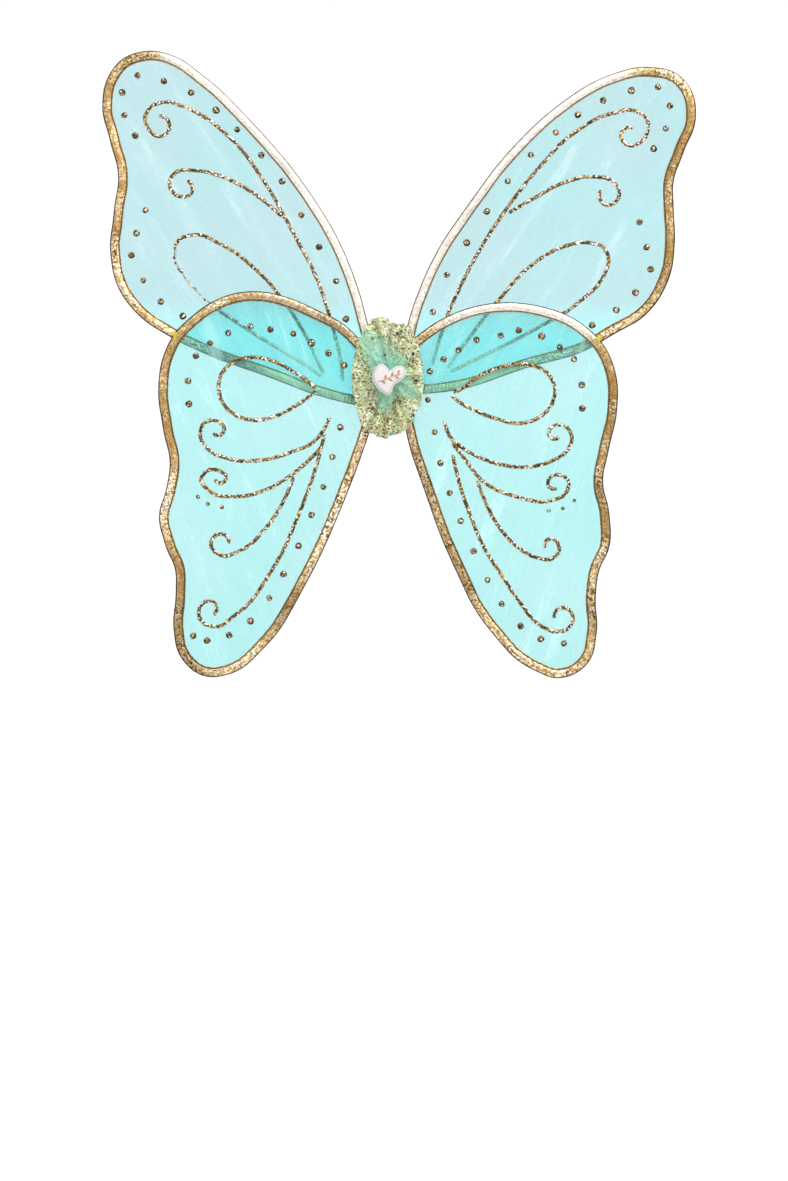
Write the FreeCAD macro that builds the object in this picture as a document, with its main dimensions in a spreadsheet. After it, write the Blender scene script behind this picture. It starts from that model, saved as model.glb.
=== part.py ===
# Costume butterfly wings: four wire-framed fabric wings on a padded centre with arm straps.
#
# Frame, in millimetres: +Z up, +X to the right of someone looking at the wings from outside,
# -Y away from the wearer, +Y towards the wearer's back. The origin is the centre of the
# back pad's flat face. Each wing pair hangs on the vertical line where its bendy wires leave
# the centre, and each arm strap hangs on the vertical line where its elastic is sewn down.
import FreeCAD, Part
import math
import os
from FreeCAD import Placement, Rotation, Vector

doc = FreeCAD.newDocument("butterfly_wings")

# ---------------------------------------------------------------- driving dimensions
SIZES = [
    ("wire_diameter", 2.2),
    ("binding_width", 8.8),
    ("binding_bulge", 3.8),
    ("binding_lip", 1.5),
    ("binding_bore", 2.3),
    ("binding_slot", 0.7),
    ("wire_inset", 1.9),
    ("fabric_thickness", 0.5),
    ("layer_offset", 2.3),
    ("fold_axis_x", 15.0),
    ("fold_axis_y", -16.5),
    ("wing_tilt", 5.0),
    ("scroll_width", 2.4),
    ("scroll_height", 0.7),
    ("dot_diameter", 4.4),
    ("dot_height", 0.5),
    ("tack_radius", 5.0),
    ("thread_diameter", 1.0),
    ("pad_width", 28.0),
    ("pad_height", 84.0),
    ("pad_thickness", 7.0),
    ("pad_cover", 0.8),
    ("pad_corner", 6.0),
    ("felt_width", 62.0),
    ("felt_height", 104.0),
    ("felt_thickness", 3.0),
    ("wrap_width", 18.0),
    ("wrap_height", 78.0),
    ("wrap_depth", 10.0),
    ("wrap_corner", 4.0),
    ("tail_gap", 1.5),
    ("tail_depth", 5.0),
    ("gold_ruffle_width", 67.0),
    ("gold_ruffle_height", 111.0),
    ("gold_ruffle_depth", 10.0),
    ("mint_ruffle_width", 52.0),
    ("mint_ruffle_height", 88.0),
    ("mint_ruffle_depth", 8.0),
    ("gather_hole", 4.0),
    ("shank_diameter", 3.0),
    ("heart_width", 31.0),
    ("heart_height", 30.0),
    ("heart_skin", 1.2),
    ("heart_filling", 3.2),
    ("strap_width", 9.0),
    ("strap_thickness", 1.2),
    ("strap_axis_x", 20.0),
    ("strap_axis_y", 0.8),
    ("strap_half_height", 28.0),
    ("strap_reach", 110.0),
    ("strap_loop_radius", 34.0),
    ("strap_tab_length", 20.0),
    ("bar_tack_width", 7.0),
    ("bar_tack_height", 1.6),
    ("bar_tack_depth", 0.6),
    ("wrap_clearance", 1.2),
    ("ruffle_clearance", 0.8),
    ("part_gap", 0.2),
]

sizes = doc.addObject("Spreadsheet::Sheet", "sizes")
for row, (alias, value) in enumerate(SIZES, start=1):
    sizes.set("A%d" % row, alias)
    sizes.set("B%d" % row, str(value))
    sizes.setAlias("B%d" % row, alias)
doc.recompute()


def size(alias):
    return float(sizes.get(alias))


def bind(obj, **expressions):
    """Tie properties of an object to the spreadsheet."""
    for name, expression in expressions.items():
        obj.setExpression(name, expression)
    return obj


nodes = []


def finish_node(obj, label):
    """Give a finished sub-part its name and put it on the list of nodes."""
    obj.Label = label
    nodes.append(obj)
    return obj


# ---------------------------------------------------------------- depths, front to back
FELT_BACK = -size("pad_thickness")
FELT_FRONT = FELT_BACK - size("felt_thickness")
WRAP_BACK = FELT_FRONT - size("wrap_clearance")
WRAP_FRONT = WRAP_BACK - size("wrap_depth")
GOLD_BACK = WRAP_FRONT - size("ruffle_clearance")
GOLD_FRONT = GOLD_BACK - size("gold_ruffle_depth")
MINT_BACK = GOLD_FRONT - size("part_gap")
MINT_FRONT = MINT_BACK - size("mint_ruffle_depth")
HEART_BACK = MINT_FRONT - size("part_gap")
HUB_DOWN_SHIFT = 1.0

# ---------------------------------------------------------------- outlines
# Each wing's outline is the middle line of its edge binding, from the root round the tip
# and back to the root, as (x, z). Left wings run anticlockwise seen from outside and right
# wings clockwise, so the outside of the wing is always on the same hand.
UPPER_LEFT = [
    (-20.6, 39.0), (-23.3, 48.3), (-30.6, 76.1), (-50.1, 125.5), (-82.4, 177.7),
    (-128.1, 231.9), (-176.5, 277.5), (-200.0, 293.0), (-225.9, 297.5), (-244.5, 290.5),
    (-257.5, 273.0), (-261.2, 250.0), (-254.4, 219.4), (-246.8, 187.6), (-250.7, 152.1),
    (-254.0, 115.4), (-246.1, 82.2), (-230.0, 61.0), (-200.9, 41.2), (-164.5, 24.1),
    (-111.8, 5.5), (-63.5, -12.1), (-25.0, -21.0),
]
LOWER_LEFT = [
    (-27.5, 29.0), (-46.2, 47.4), (-68.4, 58.9), (-92.6, 69.3), (-116.8, 75.2),
    (-141.3, 73.9), (-161.7, 66.3), (-180.0, 53.3), (-196.4, 36.5), (-206.5, 14.0),
    (-209.8, -14.0), (-205.6, -46.0), (-199.2, -82.0), (-202.4, -104.0), (-209.0, -129.0),
    (-203.8, -153.5), (-194.2, -178.0), (-193.6, -200.0), (-195.6, -233.0), (-190.0, -256.5),
    (-170.4, -272.7), (-149.5, -270.8), (-117.8, -245.9), (-80.6, -187.7), (-47.4, -115.8),
    (-29.0, -67.5), (-20.8, -43.0),
]
UPPER_RIGHT = [
    (18.4, 39.0), (20.8, 48.3), (27.8, 70.2), (48.6, 116.9), (77.4, 159.5),
    (113.8, 206.5), (156.1, 246.4), (198.9, 272.8), (240.7, 282.3), (264.0, 276.5),
    (277.5, 259.5), (279.6, 238.0), (268.5, 208.0), (259.4, 181.0), (259.4, 155.0),
    (260.5, 125.0), (255.4, 92.0), (235.5, 61.0), (207.0, 43.8), (184.1, 30.6),
    (125.6, 13.0), (60.5, -6.7), (23.0, -9.6),
]
LOWER_RIGHT = [
    (23.5, 31.5), (42.1, 45.6), (60.0, 55.1), (79.6, 61.7), (101.6, 65.2),
    (123.7, 64.6), (143.3, 60.9), (163.0, 53.8), (178.6, 44.4), (196.5, 26.0),
    (207.1, -2.0), (207.0, -33.0), (200.0, -66.0), (194.4, -97.0), (200.2, -127.0),
    (200.9, -154.0), (190.5, -180.0), (187.6, -205.0), (188.6, -236.0), (181.5, -262.0),
    (160.5, -274.2), (134.5, -266.3), (94.7, -228.0), (61.0, -165.3), (34.5, -94.7),
    (24.6, -66.0), (19.4, -43.0),
]
# Heights at which each wing's wire meets its fold line, on leaving and on coming back.
ROOT_HEIGHTS = {
    "upper_left": (28.0, -22.0),
    "lower_left": (21.0, -36.0),
    "upper_right": (28.0, -10.5),
    "lower_right": (21.0, -36.0),
}
# Where the fabric's root edge is cut, as the distance from the middle.
ROOT_EDGE = 24.0

# Glitter scrolls, as (x, z) along each one. A branch stops just short of the scroll
# that it grows from, and a loop's two ends stop just short of each other.
SCROLLS = {
    "upper_left": [
        [(-213.0, 241.8), (-204.5, 236.5), (-205.5, 227.0), (-214.0, 223.0), (-223.5, 230.5),
         (-226.5, 240.0), (-221.5, 249.5), (-209.5, 254.5), (-184.5, 248.0), (-145.0, 220.0),
         (-116.5, 183.0), (-90.0, 137.0), (-66.0, 90.0), (-52.0, 46.0),
         (-46.4, 24.0), (-43.2, -1.0)],
        [(-187.0, 182.0), (-182.5, 175.0), (-186.0, 168.5), (-194.0, 167.5), (-202.5, 173.5),
         (-203.5, 182.5), (-197.0, 190.5), (-180.0, 192.0), (-151.5, 185.0), (-118.0, 166.0),
         (-100.5, 151.5)],
        [(-61.5, 6.2), (-66.0, 14.5), (-73.5, 31.5), (-90.5, 61.0), (-121.0, 98.0), (-153.5, 122.5),
         (-182.5, 132.0), (-196.5, 126.0), (-199.0, 113.0), (-190.0, 93.0), (-169.5, 71.5),
         (-134.0, 46.5), (-93.0, 21.5), (-74.5, 10.5), (-64.2, 3.0)],
    ],
    "lower_left": [
        [(-69.0, -9.2), (-75.5, -3.4), (-88.0, 5.0), (-111.5, 16.5), (-130.5, 18.5), (-147.5, 12.5),
         (-157.5, -1.0), (-156.5, -20.0), (-144.5, -34.0), (-127.5, -39.5), (-106.5, -36.0),
         (-84.0, -24.0), (-74.5, -17.2), (-68.8, -13.0)],
        [(-56.2, -37.0), (-59.5, -45.0), (-71.5, -60.0), (-91.0, -69.0), (-118.0, -76.5), (-149.5, -75.5),
         (-170.0, -65.0), (-175.5, -53.0), (-171.5, -42.5), (-161.0, -40.5), (-153.5, -47.0),
         (-156.5, -53.5), (-163.0, -52.5)],
        [(-63.5, -64.5), (-86.5, -86.5), (-109.0, -101.5), (-141.0, -110.5), (-167.0, -105.5),
         (-174.5, -94.5), (-168.5, -86.5), (-157.5, -87.0), (-151.5, -93.0), (-156.0, -98.0),
         (-161.5, -95.5)],
        [(-89.3, -92.3), (-95.0, -107.0), (-113.5, -138.0), (-137.5, -160.0), (-157.5, -164.5),
         (-165.5, -156.0), (-161.0, -146.5), (-151.5, -147.0), (-149.0, -153.5)],
        [(-60.6, -52.5), (-67.5, -80.0), (-82.0, -121.0), (-107.0, -175.0), (-142.0, -219.5),
         (-163.0, -231.0), (-175.0, -225.0), (-176.0, -213.5), (-168.5, -207.5), (-160.5, -212.0),
         (-162.5, -219.5)],
    ],
    "upper_right": [
        [(226.0, 230.5), (218.0, 229.5), (216.0, 221.0), (223.0, 214.5), (233.0, 217.0),
         (240.0, 226.5), (239.0, 238.5), (229.0, 246.0), (207.0, 244.5), (170.0, 225.5),
         (139.5, 195.0), (100.5, 144.5), (70.0, 93.0), (52.0, 52.0), (41.0, 14.0)],
        [(197.0, 173.0), (196.0, 165.5), (203.0, 159.5), (211.5, 163.5), (213.5, 173.0),
         (206.0, 182.5), (190.0, 186.0), (162.0, 180.5), (133.5, 166.0), (112.5, 154.0)],
        [(55.4, 10.6), (61.0, 19.4), (73.5, 36.0), (100.5, 70.5), (133.0, 105.0), (160.5, 121.0),
         (186.0, 125.0), (200.5, 119.0), (204.0, 109.0), (199.0, 93.0), (175.0, 68.5),
         (142.5, 48.5), (99.0, 26.2), (79.4, 16.9), (57.8, 6.8)],
    ],
    "lower_right": [
        [(61.0, -13.2), (69.8, -9.2), (80.5, -0.8), (98.0, 8.0), (129.0, 12.0), (145.0, 6.0),
         (153.5, -6.0), (152.0, -24.0), (140.0, -37.0), (122.0, -42.5), (101.5, -38.5),
         (81.0, -30.5), (68.0, -23.8), (59.6, -17.2)],
        [(52.0, -41.0), (57.0, -54.0), (68.0, -64.5), (86.0, -74.5), (106.0, -81.0),
         (129.5, -83.0), (150.5, -78.0), (166.0, -67.5), (170.0, -56.5), (165.5, -46.5),
         (155.5, -44.5), (149.0, -50.0), (152.5, -57.0), (158.0, -55.5)],
        [(60.0, -61.0), (72.0, -77.0), (86.0, -94.5), (122.0, -111.5), (150.0, -114.5),
         (165.0, -106.5), (166.5, -96.0), (158.5, -90.5), (149.0, -94.5), (149.5, -102.0),
         (155.5, -103.0)],
        [(83.0, -96.4), (90.5, -116.5), (101.5, -137.0), (119.0, -156.5), (137.5, -167.0),
         (153.0, -167.5), (158.5, -160.0), (155.0, -151.5), (146.5, -151.5), (145.0, -157.5)],
        [(60.0, -72.0), (65.5, -96.5), (75.5, -126.5), (88.5, -157.0), (104.5, -182.5),
         (122.0, -208.5), (139.5, -229.0), (154.5, -235.5), (167.0, -232.5), (171.0, -222.5),
         (165.0, -214.0), (156.5, -215.5), (154.0, -222.5)],
    ],
}

# Glitter dots, as (x, z). The three small ones by the lower scroll are in their own list.
DOTS = {
    "upper_left": [
        (-233.4, 279.0), (-209.3, 274.4), (-184.1, 264.1), (-160.9, 248.3), (-141.4, 230.6),
        (-119.0, 207.4), (-99.5, 183.2), (-81.8, 152.5), (-65.1, 122.8), (-49.3, 91.1),
        (-40.0, 55.8), (-247.4, 263.2), (-245.5, 241.8), (-235.3, 223.2), (-226.0, 154.4),
        (-234.4, 133.0), (-239.0, 112.5), (-227.9, 89.3), (-212.0, 69.8), (-191.6, 56.7),
    ],
    "lower_left": [
        (-149.7, 40.9), (-129.3, 47.4), (-110.7, 44.6), (-89.3, 40.9), (-72.5, 32.6),
        (-56.7, 23.3), (-41.9, 12.1), (-166.5, 31.6), (-179.5, 19.5), (-186.9, -3.7),
        (-186.0, -25.1), (-45.6, -45.6), (-53.0, -73.5), (-61.4, -101.4), (-72.5, -127.4),
        (-84.6, -156.2), (-98.6, -182.3), (-111.6, -204.6), (-129.3, -226.0), (-148.8, -239.0),
        (-169.3, -244.0), (-182.0, -239.5),
    ],
    "upper_right": [
        (225.1, 265.1), (249.2, 267.8), (260.4, 250.2), (256.7, 229.7), (245.5, 211.1),
        (199.0, 256.7), (175.8, 243.7), (155.3, 227.9), (132.1, 207.4), (110.7, 183.2),
        (91.1, 155.3), (72.5, 126.5), (53.9, 96.7), (40.9, 62.3), (232.5, 143.2),
        (239.0, 120.0), (242.7, 99.5), (228.8, 78.1), (211.1, 62.3), (188.8, 48.4),
    ],
    "lower_right": [
        (81.8, 35.3), (104.2, 39.1), (120.9, 43.7), (142.3, 38.1), (159.0, 27.9),
        (172.1, 16.7), (179.5, -7.4), (179.5, -28.8), (65.1, 26.0), (51.2, 17.7),
        (38.5, 6.5), (36.5, -20.0), (42.8, -50.2), (48.4, -79.1), (56.7, -107.0),
        (67.0, -133.0), (79.1, -160.9), (92.1, -187.9), (105.1, -210.2), (122.8, -230.6),
        (141.4, -242.7), (162.8, -246.5),
    ],
}
SMALL_DOTS = {
    "lower_left": [(-177.6, -111.0), (-168.5, -117.5), (-155.5, -120.5)],
    "lower_right": [(148.8, -123.5), (161.8, -121.5), (172.5, -114.5)],
}
SMALL_DOT_SHARE = 0.6


# ---------------------------------------------------------------- smooth lines from arcs
def tangent_through(before, here, after):
    """Direction at the middle one of three points, along the circle through them."""
    first = here - before
    second = after - here
    blend = first * (second.Length / first.Length) + second * (first.Length / second.Length)
    return blend.normalize()


def reflected(chord, direction):
    """Direction at one end of an arc, from its chord and the direction at the other end."""
    unit = Vector(chord).normalize()
    return unit * (2 * direction.dot(unit)) - direction


def tangents(points, start=None, end=None):
    inner = [tangent_through(*points[i - 1:i + 2]) for i in range(1, len(points) - 1)]
    if start is None:
        start = reflected(points[1] - points[0], inner[0])
    if end is None:
        end = reflected(points[-1] - points[-2], inner[-1])
    return [start] + inner + [end]


def arc_from(start, direction, end):
    """The arc that leaves start along direction and reaches end."""
    chord = end - start
    across = direction - chord * (direction.dot(chord) / chord.dot(chord))
    if across.Length < 1e-6:
        return Part.LineSegment(start, end).toShape()
    rise = chord.Length / 2 * math.tan(direction.getAngle(chord) / 2)
    middle = (start + end) * 0.5 + across.normalize() * rise
    return Part.Arc(start, middle, end).toShape()


def two_arcs(start, start_way, end, end_way):
    """Two arcs that join start to end and keep both directions."""
    chord = end - start
    spread = 2 * (1 - start_way.dot(end_way))
    along = chord.dot(start_way + end_way)
    if spread < 1e-9:
        reach = chord.dot(chord) / (4 * chord.dot(end_way))
    else:
        reach = (-along + math.sqrt(along * along + spread * chord.dot(chord))) / spread
    join = (start + end + (start_way - end_way) * reach) * 0.5
    first = arc_from(start, start_way, join)
    join_way = reflected(join - start, start_way)
    return [first, arc_from(join, join_way, end)]


def smooth_edges(points, ways):
    edges = []
    for i in range(len(points) - 1):
        edges += two_arcs(points[i], ways[i], points[i + 1], ways[i + 1])
    return edges


def helper(shape, name):
    """A construction line or section, kept in the document and not a node."""
    obj = doc.addObject("Part::Feature", name)
    obj.Shape = shape
    return obj


def sweep(section, path, name):
    obj = doc.addObject("Part::Sweep", name)
    obj.Sections = [section]
    obj.Spine = (path, [])
    obj.Solid = True
    obj.Frenet = False
    return obj


# ---------------------------------------------------------------- one wing
def fold_placement(side):
    """The rest tilt of a wing pair about its fold line, tips away from the wearer."""
    centre = Vector(side * size("fold_axis_x"), size("fold_axis_y"), 0)
    turn = Rotation(Vector(0, 0, 1), -side * size("wing_tilt"))
    return Placement(Vector(0, 0, 0), turn, centre)


def wing_lines(name, outline):
    """Binding middle line and wire line of a wing, as edge lists, with their end facts."""
    side = -1 if name.endswith("left") else 1
    offset = size("layer_offset") if name.startswith("upper") else -size("layer_offset")
    depth = size("fold_axis_y") + offset
    middle = [Vector(x, depth, z) for x, z in outline]
    ways = tangents(middle)
    outward = [Vector(-side * way.z, 0, side * way.x) for way in ways]
    wire = [point + out * wire_out() for point, out in zip(middle, outward)]
    top, bottom = ROOT_HEIGHTS[name]
    root_x = side * size("fold_axis_x")
    leave = Vector(root_x, size("fold_axis_y"), top)
    arrive = Vector(root_x, size("fold_axis_y"), bottom)
    away = Vector(side, 0, 0)
    wire_in = two_arcs(leave, away, wire[0], ways[0])
    wire_back = two_arcs(wire[-1], ways[-1], arrive, away * -1)
    wire_round = smooth_edges(wire, ways)
    return {
        "side": side,
        "depth": depth,
        "middle": middle,
        "ways": ways,
        "wire_start": wire[0],
        "wire_way": ways[0],
        "wire_outward": outward[0],
        "wire_edges": wire_in + wire_round + wire_back,
        "binding_edges": wire_round,
        "root": leave,
        "root_way": away,
    }


def wire_out():
    """How far the wire lies outside the binding's middle line."""
    return size("binding_width") / 2 - size("wire_inset")


def binding_section(lines):
    """Folded lame strip in section: a round bead over the wire and two lips on the fabric."""
    outward = lines["wire_outward"]
    normal = Vector(0, 1, 0)

    def at(out, across):
        return lines["wire_start"] + outward * out + normal * across

    bead = size("binding_bulge") / 2
    lip = size("binding_lip") / 2
    slot = size("binding_slot") / 2
    bore = size("binding_bore") / 2
    inner = size("wire_inset") - size("binding_width")
    mouth = -math.sqrt(bore ** 2 - slot ** 2)
    edges = [
        Part.LineSegment(at(inner, slot), at(inner, lip)),
        Part.LineSegment(at(inner, lip), at(0, bead)),
        Part.Arc(at(0, bead), at(bead, 0), at(0, -bead)),
        Part.LineSegment(at(0, -bead), at(inner, -lip)),
        Part.LineSegment(at(inner, -lip), at(inner, -slot)),
        Part.LineSegment(at(inner, -slot), at(mouth, -slot)),
        Part.Arc(at(mouth, -slot), at(bore, 0), at(mouth, slot)),
        Part.LineSegment(at(mouth, slot), at(inner, slot)),
    ]
    return Part.Wire([edge.toShape() for edge in edges])


def build_wire(name, lines, tilt):
    section = doc.addObject("Part::Circle", name + "_wire_section")
    bind(section, Radius="sizes.wire_diameter / 2")
    section.Placement = Placement(lines["root"], Rotation(Vector(0, 0, 1), lines["root_way"]))
    path = helper(Part.Wire(lines["wire_edges"]), name + "_wire_line")
    obj = sweep(section, path, name + "_wire_sweep")
    obj.Placement = tilt
    return finish_node(obj, name + "_wire")


def build_binding(name, lines, tilt):
    section = helper(binding_section(lines), name + "_binding_section")
    path = helper(Part.Wire(lines["binding_edges"]), name + "_binding_line")
    obj = sweep(section, path, name + "_binding_sweep")
    obj.Placement = tilt
    return finish_node(obj, name + "_binding")


def build_fabric(name, lines, tilt):
    """Flat sheer panel, its edge held in the binding and its root edge cut square."""
    side = lines["side"]
    middle = lines["middle"]
    ways = lines["ways"]
    edges = smooth_edges(middle, ways)
    closing = Part.LineSegment(middle[-1], middle[0]).toShape()
    panel = Part.Face(Part.Wire(edges + [closing]))
    reach = 400.0
    depth = lines["depth"]
    low_x = ROOT_EDGE if side > 0 else -ROOT_EDGE - reach
    keep = Part.makeBox(reach, 2.0, 2 * reach, Vector(low_x, depth - 1.0, -reach))
    outline = helper(panel.common(keep).Faces[0], name + "_fabric_outline")
    obj = doc.addObject("Part::Extrusion", name + "_fabric_panel")
    obj.Base = outline
    obj.DirMode = "Custom"
    obj.Dir = Vector(0, 1, 0)
    obj.Symmetric = True
    obj.Solid = True
    bind(obj, LengthFwd="sizes.fabric_thickness")
    obj.Placement = tilt
    return finish_node(obj, name + "_fabric")


def build_scrolls(name, lines, tilt):
    """Raised glitter lines on the outer face of the fabric."""
    face = lines["depth"] - size("fabric_thickness") / 2
    wide = size("scroll_width") / 2
    high = size("scroll_height")
    beads = []
    for number, route in enumerate(SCROLLS[name], start=1):
        points = [Vector(x, face, z) for x, z in route]
        ways = tangents(points)
        across = Vector(0, 1, 0).cross(ways[0])
        corners = [(-wide, 0), (wide, 0), (0.45 * wide, -high), (-0.45 * wide, -high)]
        ring = [points[0] + across * a + Vector(0, b, 0) for a, b in corners]
        title = "%s_scroll_%d" % (name, number)
        section = helper(Part.makePolygon(ring + ring[:1]), title + "_section")
        path = helper(Part.Wire(smooth_edges(points, ways)), title + "_line")
        beads.append(sweep(section, path, title))
    obj = doc.addObject("Part::Compound", name + "_scroll_group")
    obj.Links = beads
    obj.Placement = tilt
    return finish_node(obj, name + "_glitter_scrolls")


def build_dots(name, lines, tilt):
    face = lines["depth"] - size("fabric_thickness") / 2
    radius = size("dot_diameter") / 2
    places = [(x, z, radius) for x, z in DOTS[name]]
    places += [(x, z, radius * SMALL_DOT_SHARE) for x, z in SMALL_DOTS.get(name, [])]
    outward = Vector(0, -1, 0)
    height = size("dot_height")
    drops = [Part.makeCylinder(r, height, Vector(x, face, z), outward) for x, z, r in places]
    obj = helper(Part.Compound(drops), name + "_dot_group")
    obj.Placement = tilt
    return finish_node(obj, name + "_glitter_dots")


def build_wing(name, outline):
    lines = wing_lines(name, outline)
    tilt = fold_placement(lines["side"])
    build_wire(name, lines, tilt)
    build_binding(name, lines, tilt)
    build_fabric(name, lines, tilt)
    build_scrolls(name, lines, tilt)
    build_dots(name, lines, tilt)
    return lines


# ---------------------------------------------------------------- thread at the crossings
def build_crossing_tack(side_name, upper, lower):
    """Two turns of thread round both wires, where the two frames of a side cross."""
    side = upper["side"]
    level = Vector(0, size("fold_axis_y"), 0)
    flat_upper = Part.Wire(upper["binding_edges"])
    flat_upper.translate(Vector(0, level.y - upper["depth"], 0))
    flat_lower = Part.Wire(lower["binding_edges"])
    flat_lower.translate(Vector(0, level.y - lower["depth"], 0))
    far_half = Part.makeBox(200, 60, 200, Vector(-100 + side * 220, level.y - 30, -60))
    near = flat_upper.common(far_half).distToShape(flat_lower.common(far_half))
    centre = near[1][0][0]
    lashing = Vector(-side * 0.98, 0, 0.18)
    turns = []
    for step in (-0.8, 0.8):
        ring = doc.addObject("Part::Torus", "%s_tack_turn" % side_name)
        bind(ring, Radius1="sizes.tack_radius", Radius2="sizes.thread_diameter / 2")
        facing = Rotation(Vector(0, 0, 1), lashing)
        ring.Placement = Placement(centre + lashing * step, facing)
        turns.append(ring)
    obj = doc.addObject("Part::Compound", side_name + "_tack_turns")
    obj.Links = turns
    obj.Placement = fold_placement(side)
    return finish_node(obj, side_name + "_crossing_tack")


# ---------------------------------------------------------------- the padded centre
def block(name, width, depth, height, x, y, z):
    obj = doc.addObject("Part::Box", name)
    bind(obj, Length=width, Width=depth, Height=height)
    obj.Placement = Placement(Vector(x, y, z), Rotation())
    return obj


def round_depth_edges(base, radius, name):
    """Round the four edges that run from front to back."""
    doc.recompute()
    obj = doc.addObject("Part::Fillet", name)
    obj.Base = base
    corners = []
    for number, edge in enumerate(base.Shape.Edges, start=1):
        way = edge.Vertexes[1].Point - edge.Vertexes[0].Point
        if abs(way.y) > 0.9 * way.Length:
            corners.append((number, radius, radius))
    obj.Edges = corners
    return obj


def build_pad():
    """A foam core inside a sewn cover, flat face at Y = 0."""
    wide = size("pad_width")
    tall = size("pad_height")
    thick = size("pad_thickness")
    skin = size("pad_cover")
    corner = size("pad_corner")
    outer = block("pad_outer_block", "sizes.pad_width", "sizes.pad_thickness", "sizes.pad_height",
                  -wide / 2, -thick, -tall / 2)
    outer_round = round_depth_edges(outer, corner, "pad_outer")
    inner_sizes = ["sizes.pad_%s - 2 * sizes.pad_cover" % way
                   for way in ("width", "thickness", "height")]
    hollow = block("pad_hollow_block", *inner_sizes, -wide / 2 + skin, -thick + skin,
                   -tall / 2 + skin)
    hollow_round = round_depth_edges(hollow, corner - skin, "pad_hollow")
    cover = doc.addObject("Part::Cut", "pad_cover_shell")
    cover.Base = outer_round
    cover.Tool = hollow_round
    finish_node(cover, "back_pad_cover")
    foam = block("pad_foam_block", *inner_sizes, -wide / 2 + skin, -thick + skin,
                 -tall / 2 + skin)
    foam_round = round_depth_edges(foam, corner - skin, "pad_foam")
    finish_node(foam_round, "back_pad_foam")


def oval_plate(name, width, height, depth, back, front_way=-1):
    """An oval plate in the XZ plane that reaches from its back face towards -Y."""
    oval = doc.addObject("Part::Ellipse", name + "_oval")
    bind(oval, MajorRadius=height + " / 2", MinorRadius=width + " / 2")
    oval.Placement = Placement(Vector(0, back, 0), Rotation(Vector(0, 0, 1), Vector(-1, 0, 0),
                                                            Vector(0, -1, 0), "YXZ"))
    plate = doc.addObject("Part::Extrusion", name + "_plate")
    plate.Base = oval
    plate.DirMode = "Custom"
    plate.Dir = Vector(0, front_way, 0)
    plate.Solid = True
    bind(plate, LengthFwd=depth)
    return plate


def drill(base, name, diameter):
    """A hole through a plate, along Y at the middle."""
    tool = doc.addObject("Part::Cylinder", name + "_tool")
    bind(tool, Radius=diameter + " / 2")
    tool.Height = 120.0
    tool.Placement = Placement(Vector(0, 60, 0), Rotation(Vector(0, 0, 1), Vector(0, -1, 0)))
    obj = doc.addObject("Part::Cut", name)
    obj.Base = base
    obj.Tool = tool
    return obj


def build_felt():
    plate = oval_plate("felt", "sizes.felt_width", "sizes.felt_height",
                       "sizes.felt_thickness", FELT_BACK)
    finish_node(plate, "felt_backing")


def build_root_wrap():
    """Thread-wrapped bundle that holds the wire tails and leaves each one a socket."""
    wide = size("wrap_width")
    tall = size("wrap_height")
    core = block("wrap_block", "sizes.wrap_width", "sizes.wrap_depth", "sizes.wrap_height",
                 -wide / 2, WRAP_FRONT, -tall / 2 - HUB_DOWN_SHIFT)
    rounded = round_depth_edges(core, size("wrap_corner"), "wrap_rounded")
    sockets = doc.addObject("Part::Compound", "wrap_sockets")
    sockets.Links = wire_tails("socket")
    body = doc.addObject("Part::Cut", "wrap_body")
    body.Base = rounded
    body.Tool = sockets
    finish_node(body, "root_wrap")
    tails = doc.addObject("Part::Compound", "tail_group")
    tails.Links = wire_tails("tail")
    finish_node(tails, "wire_tails")


def wire_tails(kind):
    """The wire ends that the root wrap grips, straight and level, one for each root height."""
    tails = []
    inner = size("wrap_width") / 2 - size("tail_depth")
    for name, heights in ROOT_HEIGHTS.items():
        side = -1 if name.endswith("left") else 1
        for number, height in enumerate(heights):
            title = "%s_%s_%d" % (name, kind, number)
            tail = doc.addObject("Part::Cylinder", title)
            bind(tail, Radius="sizes.wire_diameter / 2")
            bind(tail, Height="sizes.fold_axis_x - sizes.tail_gap"
                              " - sizes.wrap_width / 2 + sizes.tail_depth")
            base = Vector(side * inner, size("fold_axis_y"), height)
            tail.Placement = Placement(base, Rotation(Vector(0, 0, 1), Vector(side, 0, 0)))
            tails.append(tail)
    return tails


def build_rosette():
    """Two gathered tulle ruffles, oval, on a thread shank."""
    gold = oval_plate("gold_ruffle", "sizes.gold_ruffle_width", "sizes.gold_ruffle_height",
                      "sizes.gold_ruffle_depth", GOLD_BACK)
    finish_node(drill(gold, "gold_ruffle_body", "sizes.gather_hole"), "rosette_gold_ruffle")
    mint = oval_plate("mint_ruffle", "sizes.mint_ruffle_width", "sizes.mint_ruffle_height",
                      "sizes.mint_ruffle_depth", MINT_BACK)
    finish_node(drill(mint, "mint_ruffle_body", "sizes.gather_hole"), "rosette_mint_ruffle")
    shank = doc.addObject("Part::Cylinder", "shank")
    bind(shank, Radius="sizes.shank_diameter / 2")
    shank.Height = WRAP_FRONT - HEART_BACK
    shank.Placement = Placement(Vector(0, WRAP_FRONT, 0),
                                Rotation(Vector(0, 0, 1), Vector(0, -1, 0)))
    finish_node(shank, "centre_stitch")


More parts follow.
